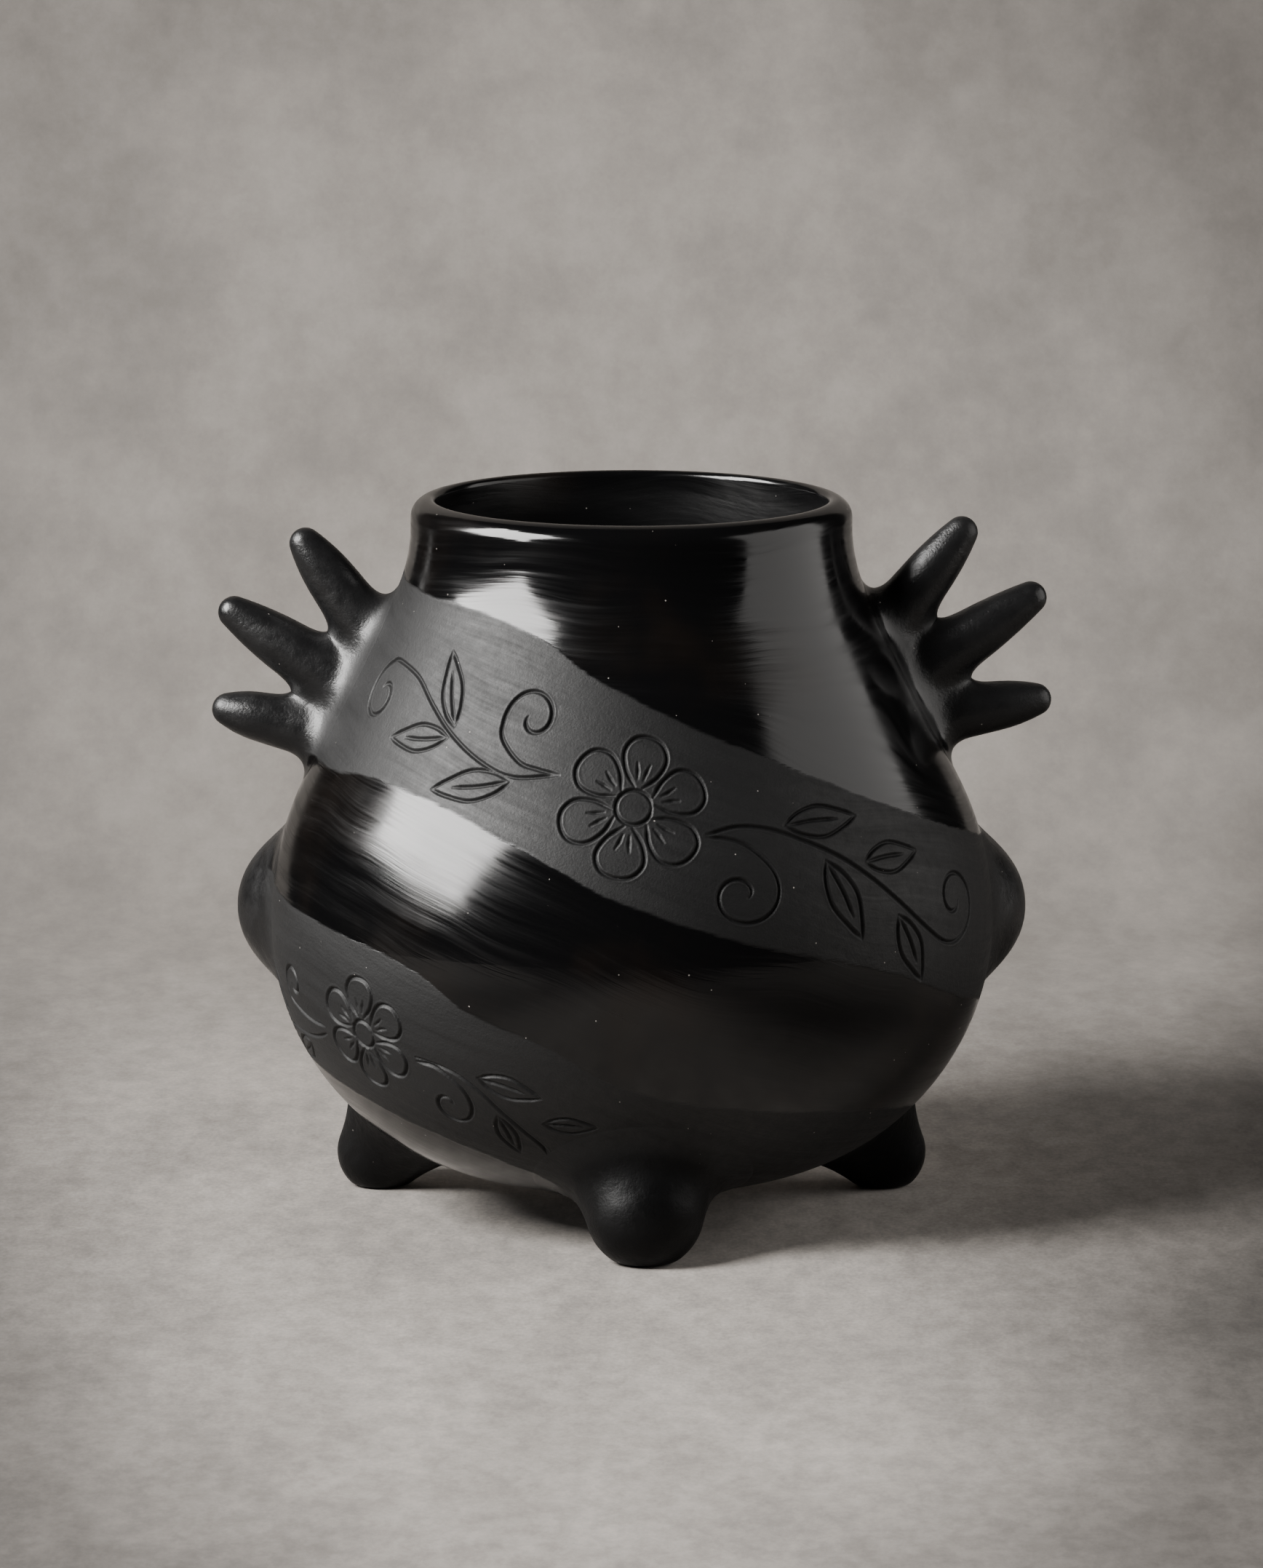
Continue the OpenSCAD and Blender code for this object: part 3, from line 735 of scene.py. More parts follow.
class Finger:
    """One finger of a fan: it tapers to its joint, and then swells into a bullet-shaped tip."""

    def __init__(self, form, applied, side, i):
        heights, tilts, spans = (
            (applied.left_heights, applied.left_tilts, applied.left_lengths) if side < 0
            else (applied.right_heights, applied.right_tilts, applied.right_lengths))
        out = outwards(side * applied.gill_turn)
        tilt = tilts[i]
        root_r = form.cone_r - (heights[i] - form.cone_z) * math.tan(form.lean)
        self.root = out * root_r + UP * heights[i]
        self.along = out * math.cos(tilt) + UP * math.sin(tilt)
        self.beside = self.along.cross(UP).normalized()
        self.joint_r = applied.joint_radii[i]
        self.root_r = self.joint_r + applied.gill_swell
        self.joint = applied.gill_joint
        self.tip_r = applied.gill_tip
        self.taper = math.atan((self.root_r - self.joint_r) / self.joint)
        self.tip_h = spans[i] - self.joint - self.tip_r
        self.side_arc = (self.tip_h ** 2 + self.joint_r ** 2 - self.tip_r ** 2) / (
            2 * (self.joint_r * math.cos(self.taper) - self.tip_r - self.tip_h * math.sin(self.taper)))
        self.side_r = self.joint_r - self.side_arc * math.cos(self.taper)
        self.side_h = -self.side_arc * math.sin(self.taper)
        self.leave = math.atan2(self.tip_h - self.side_h, -self.side_r)

    def local(self, points):
        """Distances of points along the finger from its root, and from its axis."""
        away = points - np.array(self.root)
        along = away @ np.array(self.along)
        return along, np.linalg.norm(away - along[:, None] * np.array(self.along), axis=1)

    def distance(self, points):
        along, r = self.local(points)
        h = along - self.joint
        cone = (r - self.root_r + along * math.tan(self.taper)) * math.cos(self.taper)
        side = np.hypot(r - self.side_r, h - self.side_h) - self.side_arc
        tip = np.hypot(r, h - self.tip_h) - self.tip_r
        turn = np.arctan2(h - self.side_h, r - self.side_r)
        return np.select([h < 0, turn < self.leave], [cone, side], tip)

    def seed(self, sunk=4 * MM):
        """The finger, spun about its axis."""
        section = [(0, -sunk), (self.root_r, -sunk), (self.root_r, 0), (self.joint_r, self.joint)]
        for turn in np.linspace(self.taper, self.leave, 8)[1:]:
            section.append((self.side_r + self.side_arc * math.cos(turn),
                            self.joint + self.side_h + self.side_arc * math.sin(turn)))
        for turn in np.linspace(self.leave, math.pi / 2, 5)[1:]:
            section.append((max(0, self.tip_r * math.cos(turn)),
                            self.joint + self.tip_h + self.tip_r * math.sin(turn)))
        return spun(section, self.root, self.along, self.beside, 32)

    def beyond(self, face):
        """Whether a face belongs to the finger and not to the root."""
        along, r = self.local(np.array([face.calc_center_median()]))
        return along[0] > self.joint and r[0] < self.joint_r + JOINT_ROOM

    def cut(self, bm):
        """Cuts a fan's skin through at the finger's joint."""
        near = [f for f in bm.faces if self.near(f)]
        geom = list({item for f in near for item in (*f.verts, *f.edges)}) + near
        bmesh.ops.bisect_plane(bm, geom=geom, dist=1e-7, plane_co=self.root + self.along * self.joint,
                               plane_no=self.along)

    def near(self, face):
        along, r = self.local(np.array([face.calc_center_median()]))
        return abs(along[0] - self.joint) < JOINT_NEAR and r[0] < self.joint_r + JOINT_ROOM


def capped(bm, faces_to_drop):
    """Drops faces and closes the cut, with a sharp edge round it."""
    bmesh.ops.delete(bm, geom=faces_to_drop, context="FACES")
    rim = [e for e in bm.edges if e.is_boundary]
    bmesh.ops.holes_fill(bm, edges=rim, sides=0)
    for edge in rim:
        edge.smooth = False


# Shader nodes

class Graph:
    """A node tree with short ways to add nodes and wire them."""

    def __init__(self, tree):
        self.tree = tree

    def add(self, kind, inputs=None, **options):
        node = self.tree.nodes.new(kind)
        for key, value in options.items():
            setattr(node, key, value)
        for key, value in (inputs or {}).items():
            self.wire(value, node.inputs[key])
        return node

    def wire(self, value, socket):
        if isinstance(value, bpy.types.NodeSocket):
            self.tree.links.new(value, socket)
        else:
            socket.default_value = value

    def math(self, operation, *values):
        node = self.add("ShaderNodeMath", operation=operation)
        for value, socket in zip(values, node.inputs):
            self.wire(value, socket)
        return node.outputs[0]

    def times(self, a, b):
        return self.math("MULTIPLY", a, b)

    def times_plus(self, a, b, c):
        return self.math("MULTIPLY_ADD", a, b, c)

    def vary(self, base, value, amount):
        """The base, raised and lowered by a value that runs about a half."""
        return self.times_plus(self.math("SUBTRACT", value, 0.5), amount, base)

    def both(self, a, share_a, b, share_b):
        return self.math("ADD", self.times(a, share_a), self.times(b, share_b))

    def blend(self, factor, a, b):
        return self.add("ShaderNodeMix", {0: factor, 2: a, 3: b}, data_type="FLOAT").outputs[0]

    def tint(self, factor, a, b):
        return self.add("ShaderNodeMix", {0: factor, 6: a, 7: b}, data_type="RGBA").outputs[2]

    def ramp(self, value, low, high, to_low=0.0, to_high=1.0):
        node = self.add("ShaderNodeMapRange", {0: value, 1: low, 2: high, 3: to_low, 4: to_high},
                        interpolation_type="SMOOTHSTEP")
        return node.outputs[0]

    def place(self):
        return self.add("ShaderNodeTexCoord").outputs["Object"]

    def axes(self, vector):
        return self.add("ShaderNodeSeparateXYZ", {0: vector}).outputs

    def vector(self, x, y, z):
        return self.add("ShaderNodeCombineXYZ", {0: x, 1: y, 2: z}).outputs[0]

    def scaled(self, vector, scale):
        return self.add("ShaderNodeVectorMath", {0: vector, 1: scale}, operation="MULTIPLY").outputs[0]

    def length(self, vector):
        return self.add("ShaderNodeVectorMath", {0: vector}, operation="LENGTH").outputs[1]

    def noise(self, vector, scale, detail=2.0, roughness=0.5):
        return self.add("ShaderNodeTexNoise", {
            "Vector": vector, "Scale": scale, "Detail": detail, "Roughness": roughness}).outputs["Fac"]

    def attribute(self, name):
        return self.add("ShaderNodeAttribute", attribute_name=name).outputs["Fac"]

    def group(self, tree, inputs):
        node = self.add("ShaderNodeGroup", node_tree=tree)
        for key, value in inputs.items():
            self.wire(value, node.inputs[key])
        return node.outputs


def new_material(name):
    """A material, as (material, graph, its shader, the place on the object)."""
    material = bpy.data.materials.new(name)
    material.use_nodes = True
    graph = Graph(material.node_tree)
    return material, graph, material.node_tree.nodes["Principled BSDF"], graph.place()


def new_group(name, inputs, outputs):
    """A shader group with its sockets, as (graph, its inputs, a function that wires an output)."""
    tree = bpy.data.node_groups.new(name, "ShaderNodeTree")
    for socket, kind in inputs.items():
        tree.interface.new_socket(socket, in_out="INPUT", socket_type=kind)
    for socket, kind in outputs.items():
        tree.interface.new_socket(socket, in_out="OUTPUT", socket_type=kind)
    graph = Graph(tree)
    start = graph.add("NodeGroupInput")
    end = graph.add("NodeGroupOutput")
    return graph, start.outputs, lambda key, value: graph.wire(value, end.inputs[key])


VECTOR = "NodeSocketVector"
VALUE = "NodeSocketFloat"
COLOUR = "NodeSocketColor"

# Edges of the two turns of the spiral band, as (azimuth in degrees, height in mm)
UPPER_TOP = ((-180, 131), (-150, 140), (-110, 146), (-77, 143.5), (-30, 139), (-3, 126.5), (19, 115.5),
             (40, 105), (70, 91), (110, 82), (180, 79))
UPPER_FOOT = ((-180, 131), (-150, 121), (-110, 106), (-78, 103.5), (-48, 104), (-21, 95), (-2, 83.5),
              (15, 75.5), (41, 66), (70, 53.5), (110, 46), (180, 42))
LOWER_TOP = ((-180, 79), (-110, 77), (-72, 74.5), (-50, 71), (-37, 66.5), (-27, 58.5), (-14, 51.5),
             (0, 41.5), (20, 36), (60, 30), (110, 20), (150, 8), (180, 0))
LOWER_FOOT = ((-180, 42), (-110, 41), (-75, 37), (-48, 29.5), (-28, 21), (-10, 12), (10, 5), (40, 0),
              (180, 0))

# Height in mm that the edges are measured against, how far a ragged edge strays, and how soft it is
BAND_REACH = 160
BAND_STRAY = 1.1 / BAND_REACH
BAND_SOFT = 0.5 / BAND_REACH

# Fall of the band and of its brush strokes, as height to width
BAND_SLANT = 0.37

# Heights between which the strokes of the polish turn from the band's fall to level
LEVEL_STROKES = (100 * MM, 135 * MM)

# How far the inside takes the colour and the roughness of the matte bands
INSIDE_SHARES = (0.25, 0.45)


def band_group():
    """Where the spiral band is, from the place on the pot."""
    graph, put_in, put_out = new_group("Spiral band", {"Vector": VECTOR}, {"Band": VALUE})
    vector = put_in["Vector"]
    axes = graph.axes(vector)
    turn = graph.math("ARCTAN2", axes[0], graph.times(axes[1], -1.0))
    around = graph.times_plus(turn, 1 / TAU, 0.5)
    ragged = graph.noise(graph.scaled(vector, (90, 90, 1400)), 1.0, 3.0, 0.6)
    strayed = graph.noise(vector, 90.0, 2.0)
    height = graph.times(axes[2], 1 / (BAND_REACH * MM))
    for edge in (ragged, strayed):
        height = graph.vary(height, edge, BAND_STRAY)
    turns = []
    for top, foot in ((UPPER_TOP, UPPER_FOOT), (LOWER_TOP, LOWER_FOOT)):
        below_top = graph.math("SUBTRACT", edge_curve(graph, around, top), height)
        above_foot = graph.math("SUBTRACT", height, edge_curve(graph, around, foot))
        inner = graph.math("MINIMUM", below_top, above_foot)
        turns.append(graph.ramp(inner, -BAND_SOFT, BAND_SOFT))
    put_out("Band", graph.math("MAXIMUM", *turns))
    return graph.tree


def edge_curve(graph, around, edge):
    node = graph.add("ShaderNodeFloatCurve", {"Value": around})
    points = node.mapping.curves[0].points
    spots = [(azimuth / 360 + 0.5, height / BAND_REACH) for azimuth, height in edge]
    points[0].location = spots[0]
    points[1].location = spots[-1]
    for spot in spots[1:-1]:
        points.new(*spot)
    node.mapping.update()
    return node.outputs[0]


def strokes_group():
    """Long level strokes of the burnishing stone."""
    graph, put_in, put_out = new_group("Burnishing strokes", {"Vector": VECTOR},
                                       {"Stroke": VALUE, "Height": VALUE})
    vector = put_in["Vector"]
    sway = graph.noise(vector, 22.0, 1.0)
    swayed = graph.add("ShaderNodeVectorMath", {
        0: vector, 1: graph.vector(0.0, 0.0, graph.times(sway, 0.012))}, operation="ADD").outputs[0]
    broad = graph.noise(graph.scaled(swayed, (22, 22, 330)), 1.0, 3.0, 0.55)
    fine = graph.noise(graph.scaled(swayed, (55, 55, 1700)), 1.0, 2.0, 0.5)
    put_out("Stroke", graph.both(broad, 0.6, fine, 0.4))
    put_out("Height", graph.both(broad, 0.055, fine, 0.02))
    return graph.tree


def grain_group():
    """Fine grain of scraped clay, with small pits."""
    graph, put_in, put_out = new_group("Clay grain", {"Vector": VECTOR}, {"Grain": VALUE, "Height": VALUE})
    vector = put_in["Vector"]
    fine = graph.noise(vector, 1900.0, 3.0, 0.6)
    broad = graph.noise(vector, 420.0, 3.0, 0.6)
    put_out("Grain", graph.both(broad, 0.6, fine, 0.4))
    put_out("Height", graph.both(broad, 0.07, fine, 0.06))
    return graph.tree


def wear_group():
    """Clouds that the smoke left, and pale specks of dust."""
    graph, put_in, put_out = new_group("Smoke and dust", {"Vector": VECTOR}, {"Cloud": VALUE, "Speck": VALUE})
    vector = put_in["Vector"]
    cloud = graph.noise(vector, 26.0, 3.0, 0.55)
    put_out("Cloud", graph.ramp(cloud, 0.5, 0.72))
    cells = graph.add("ShaderNodeTexVoronoi", {"Vector": vector, "Scale": 400.0})
    size = graph.ramp(graph.add("ShaderNodeSeparateColor", {0: cells.outputs["Color"]}).outputs[0],
                      0.7, 1.0, 0.0, 0.075)
    put_out("Speck", graph.math("LESS_THAN", cells.outputs["Distance"], size))
    return graph.tree


def finish_group(strokes, grain, wear):
    """Colour, roughness and height of blackware, from masks of how each place was worked, with painted shade
    in the incised lines.
    """
    graph, put_in, put_out = new_group("Blackware", {
        "Vector": VECTOR, "Band": VALUE, "Inside": VALUE, "Incised": VALUE, "Raised": VALUE,
        "Burnished": COLOUR, "Smoke": COLOUR, "Matte": COLOUR, "Applied": COLOUR, "Dust": COLOUR,
        "Burnished Roughness": VALUE, "Matte Roughness": VALUE, "Applied Roughness": VALUE,
    }, {"Color": COLOUR, "Roughness": VALUE, "Height": VALUE})
    vector = put_in["Vector"]
    axes = graph.axes(vector)
    slant = graph.ramp(axes[2], *LEVEL_STROKES, BAND_SLANT, 0.0)
    stroked = []
    for fall in (slant, BAND_SLANT):
        fallen = graph.vector(axes[0], axes[1], graph.times_plus(axes[0], fall, axes[2]))
        stroked.append(graph.group(strokes, {"Vector": fallen}))
    stroke, brushed = stroked
    blotch = graph.ramp(graph.noise(vector, 150.0, 4.0, 0.6), 0.35, 0.65)
    clay = graph.group(grain, {"Vector": vector})
    worn = graph.group(wear, {"Vector": vector})
    matte, coarse = (
        graph.math("MAXIMUM", put_in["Band"], graph.times(put_in["Inside"], part)) for part in INSIDE_SHARES)
    polished = graph.tint(graph.times(worn["Cloud"], 0.5), put_in["Burnished"], put_in["Smoke"])
    scraped = graph.tint(graph.ramp(clay["Grain"], 0.3, 0.7, 0.0, 0.55), put_in["Matte"], put_in["Burnished"])
    surface = graph.tint(matte, polished, scraped)
    surface = graph.tint(put_in["Raised"], surface, put_in["Applied"])
    # Painted shade: incised lines take the polished clay's darker colour in step with their depth
    surface = graph.tint(graph.times(put_in["Incised"], 0.8), surface, put_in["Burnished"])
    put_out("Color", graph.tint(worn["Speck"], surface, put_in["Dust"]))
    streaked = graph.vary(put_in["Burnished Roughness"], stroke["Stroke"], 0.5)
    streaked = graph.times_plus(worn["Cloud"], 0.09, streaked)
    grainy = graph.vary(put_in["Matte Roughness"], clay["Grain"], 0.25)
    grainy = graph.vary(grainy, brushed["Stroke"], 0.45)
    applied = graph.vary(put_in["Applied Roughness"], clay["Grain"], 0.3)
    applied = graph.vary(applied, blotch, 0.14)
    rough = graph.blend(coarse, streaked, grainy)
    rough = graph.blend(put_in["Raised"], rough, applied)
    put_out("Roughness", graph.blend(put_in["Incised"], rough, 0.65))
    scraped = graph.math("ADD", clay["Height"], graph.times(brushed["Height"], 0.8))
    height = graph.blend(matte, stroke["Height"], scraped)
    put_out("Height", graph.blend(put_in["Raised"], height, graph.times_plus(blotch, 0.08, clay["Height"])))
    return graph.tree


# How strongly the clay mirrors
POT_SHINE = 0.38
BAND_SHINE = 0.31
INSIDE_SHINE = 0.5
FOOT_SHINE = 0.16

# Near the base the polish is duller: between two heights, with this share of the shine at the lower one
DULL_BASE = (22 * MM, 42 * MM)
DULL_SHARE = 0.62

# For each slot: its material, the finish of its raised parts, whether the band crosses it, and the shine of
# its raised parts
CLAYS = {
    "carved_clay": ("carved_blackware", "satin", True, POT_SHINE),
    "burnished_clay": ("burnished_blackware", "satin", False, POT_SHINE),
    "satin_clay": ("satin_blackware", "satin", True, POT_SHINE),
    "matte_clay": ("matte_blackware", "foot", True, FOOT_SHINE),
}


def groups():
    """The shared shader groups, made once."""
    made = bpy.data.node_groups
    if "Blackware" not in made:
        band_group()
        finish_group(strokes_group(), grain_group(), wear_group())
    return made["Spiral band"], made["Blackware"]


def clay(slot):
    """The clay of a slot, whose raised parts have their own colour and roughness."""
    name, applied, banded, shine = CLAYS[slot]
    if name in bpy.data.materials:
        return bpy.data.materials[name]
    finish = bpy.context.scene.jar_finish
    band, blackware = groups()
    material, graph, shader, vector = new_material(name)
    inside, incised, raised = (graph.attribute(key) for key in ("inside", "incised", "raised"))
    matte = graph.group(band, {"Vector": vector})["Band"] if banded else 0.0
    worked = graph.group(blackware, {
        "Vector": vector,
        "Band": matte,
        "Inside": inside,
        "Incised": incised,
        "Raised": raised,
        "Burnished": (*finish.burnished, 1),
        "Smoke": (*finish.smoke, 1),
        "Matte": (*finish.matte, 1),
        "Applied": (*getattr(finish, applied), 1),
        "Dust": (*finish.dust, 1),
        "Burnished Roughness": finish.burnished_roughness,
        "Matte Roughness": finish.matte_roughness,
        "Applied Roughness": getattr(finish, f"{applied}_roughness"),
    })
    graph.wire(worked["Color"], shader.inputs["Base Color"])
    graph.wire(worked["Roughness"], shader.inputs["Roughness"])
    shines = graph.blend(raised, graph.blend(matte, POT_SHINE, BAND_SHINE), shine)
    shines = graph.blend(inside, shines, INSIDE_SHINE)
    shines = graph.times(shines, graph.ramp(graph.axes(vector)[2], *DULL_BASE, DULL_SHARE, 1.0))
    graph.wire(shines, shader.inputs["Specular IOR Level"])
    bump = graph.add("ShaderNodeBump", {"Height": worked["Height"], "Distance": MM})
    graph.wire(bump.outputs["Normal"], shader.inputs["Normal"])
    return material


# Operators

class JAR_OT_bowl(bpy.types.Operator):
    """Lower half of the pot, with its part of the incised band"""
    bl_idname = "jar.bowl"
    bl_label = "Bowl"

    def execute(self, context):
        form = PotForm(context.scene.jar_pot)
        bm = spun_wall(form, bowl_section(form), closed=False)
        incise(bm, form, context.scene.jar_carving)
        finish_piece(bm, "bowl", "carved_clay")
        return {"FINISHED"}


class JAR_OT_shoulder(bpy.types.Operator):
    """Upper half of the pot, with its part of the incised band"""
    bl_idname = "jar.shoulder"
    bl_label = "Shoulder"

    def execute(self, context):
        pot = context.scene.jar_pot
        form = PotForm(pot)
        bm = spun_wall(form, shoulder_section(form, pot), closed=True)
        incise(bm, form, context.scene.jar_carving)
        finish_piece(bm, "shoulder", "carved_clay")
        return {"FINISHED"}


class JAR_OT_rim_coil(bpy.types.Operator):
    """Last coil of the pot, with the rounded lip"""
    bl_idname = "jar.rim_coil"
    bl_label = "Rim Coil"

    def execute(self, context):
        pot = context.scene.jar_pot
        form = PotForm(pot)
        bm = spun_wall(form, rim_section(form, pot), closed=True)
        finish_piece(bm, "rim_coil", "burnished_clay")
        return {"FINISHED"}


class JAR_OT_feet(bpy.types.Operator):
    """Three teat-shaped feet, smoothed onto the bowl"""
    bl_idname = "jar.feet"
    bl_label = "Feet"

    def execute(self, context):
        applied = context.scene.jar_applied
        form = PotForm(context.scene.jar_pot)
        for name, turn, out, tip_r in (
            ("front_foot", applied.front_foot_turn, applied.front_foot_out, applied.front_foot_tip),
            ("left_foot", -applied.rear_foot_turn, applied.rear_foot_out, applied.rear_foot_tip),
            ("right_foot", applied.rear_foot_turn, applied.rear_foot_out, applied.rear_foot_tip),
        ):
            self.foot(form, applied, name, turn, out, tip_r)
        return {"FINISHED"}

    def foot(self, form, applied, name, turn, out, tip_r):
        flare = applied.foot_flare
        flank = applied.foot_flank
        flank_r = (tip_r + flank) * math.cos(flare)
        flank_h = -(tip_r + flank) * math.sin(flare)
        tip = outwards(turn) * out + UP * math.sqrt(tip_r ** 2 - applied.foot_pad ** 2)
        axis = UP * math.cos(applied.foot_lean) - outwards(turn) * math.sin(applied.foot_lean)

        def field(points):
            offset = points - np.array(tip)
            h = offset @ np.array(axis)
            r = np.linalg.norm(offset - h[:, None] * np.array(axis), axis=1)
            ball = np.hypot(r, h) - tip_r
            hollow = flank - np.hypot(r - flank_r, np.minimum(h, FOOT_REACH) - flank_h)
            teat = np.where(h < -r * math.tan(flare), ball, hollow)
            away = teat + FOOT_LEAD * np.maximum(r - FOOT_SPREAD, 0)
            joined = smooth_min(teat, under_skin(form, points, away, applied.foot_blend), applied.foot_blend)
            return -smooth_min(-joined, points[:, 2], PAD_ROUND)

        section = [(0, -tip_r)]
        for a in np.linspace(-math.pi / 2, -flare, 10)[1:]:
            section.append((tip_r * math.cos(a), tip_r * math.sin(a)))
        for h in np.linspace(-tip_r * math.sin(flare), FOOT_REACH, 8)[1:]:
            section.append((flank_r - math.sqrt(flank ** 2 - (h - flank_h) ** 2), h))
        section.append((0, FOOT_REACH))
        teat = spun(section, tip, axis, outwards(turn).cross(axis).normalized(), 48)
        patch = pot_patch(form, tip + axis * FOOT_PATCH_UP * MM, FOOT_PATCH)
        finish_piece(luted(form, [teat, patch], field, LUTE_VOXEL), name, "matte_clay")


class JAR_OT_bosses(bpy.types.Operator):
    """Rounded bosses on the flanks, smoothed onto the pot"""
    bl_idname = "jar.bosses"
    bl_label = "Bosses"

    def execute(self, context):
        applied = context.scene.jar_applied
        form = PotForm(context.scene.jar_pot)
        for name, side in SIDES.items():
            out = outwards(side * applied.boss_turn)
            radius = applied.boss_radius
            centre = out * (form.belly_r + applied.boss_proud - radius) + UP * applied.boss_height

            def field(points):
                dome = np.linalg.norm(points - np.array(centre), axis=1) - radius
                skin = under_skin(form, points, dome, applied.boss_blend)
                return smooth_min(dome, skin, applied.boss_blend)

            dome = bmesh.new()
            bmesh.ops.create_uvsphere(dome, u_segments=48, v_segments=24, radius=radius)
            bmesh.ops.translate(dome, vec=centre, verts=dome.verts[:])
            patch = pot_patch(form, centre + out * radius, BOSS_PATCH)
            finish_piece(luted(form, [dome, patch], field, LUTE_VOXEL), f"{name}_boss", "satin_clay")
        return {"FINISHED"}


class JAR_OT_gill_fans(bpy.types.Operator):
    """Fans of three pinched fingers on one webbed root, smoothed onto the shoulders"""
    bl_idname = "jar.gill_fans"
    bl_label = "Gill Fans"

    def execute(self, context):
        applied = context.scene.jar_applied
        form = PotForm(context.scene.jar_pot)
        for name, side in SIDES.items():
            self.fan(form, applied, name, [Finger(form, applied, side, i) for i in range(3)])
        return {"FINISHED"}

    def fan(self, form, applied, name, fingers):
        def field(points):
            fan = fingers[0].distance(points)
            for finger in fingers[1:]:
                fan = smooth_min(fan, finger.distance(points), applied.crotch_blend)
            return smooth_min(fan, under_skin(form, points, fan, applied.gill_blend), applied.gill_blend)

        patch = pot_patch(form, fingers[1].root, FAN_PATCH)
        bm = luted(form, [patch, *(finger.seed() for finger in fingers)], field, FAN_VOXEL)
        for finger in fingers:
            finger.cut(bm)
        for which, finger in zip(FINGERS, fingers):
            piece = bm.copy()
            capped(piece, [f for f in piece.faces if not finger.beyond(f)])
            finish_piece(piece, f"{name}_gill_{which}", "satin_clay")
        capped(bm, [f for f in bm.faces if any(finger.beyond(f) for finger in fingers)])
        finish_piece(bm, f"{name}_gill_root", "satin_clay")


# Softboxes: azimuth and elevation in degrees, distance, width, height, colour and roll in degrees
KEY_BOX = (-73.5, 31, 1.25, 0.98, 0.8, (1.0, 0.985, 0.965), -13)
SOFT_BOX = (-50, 35, 1.3, 0.5, 0.5, (1.0, 0.98, 0.955), 0)
PANEL_BOX = (87, 16, 0.6, 0.62, 0.5, (1.0, 0.97, 0.94), 0)
BOXES_AIM = Vector((0, 0, 0.1))
ROOM_COLOUR = (1.0, 0.97, 0.94, 1)

# Camera: lens and sensor in mm, elevation in degrees, distance, and the height that it looks at
LENS = 269.7
SENSOR = 36.0
CAMERA_RISE = 9.3
CAMERA_AWAY = 2.6
CAMERA_AIM = 96.6 * MM

# Paper: depths of its front edge and of its bend, the bend's radius, its top, and how far the wings reach.
# The sweep's half width narrows by some of it between two depths
PAPER_FRONT = -0.46
PAPER_BEND = 0.34
PAPER_RADIUS = 0.3
PAPER_TOP = 1.9
PAPER_FAR = 2.2
PAPER_HALF = 0.62
PAPER_NARROW = 0.22
NARROW_RANGE = (0.0, 0.55)


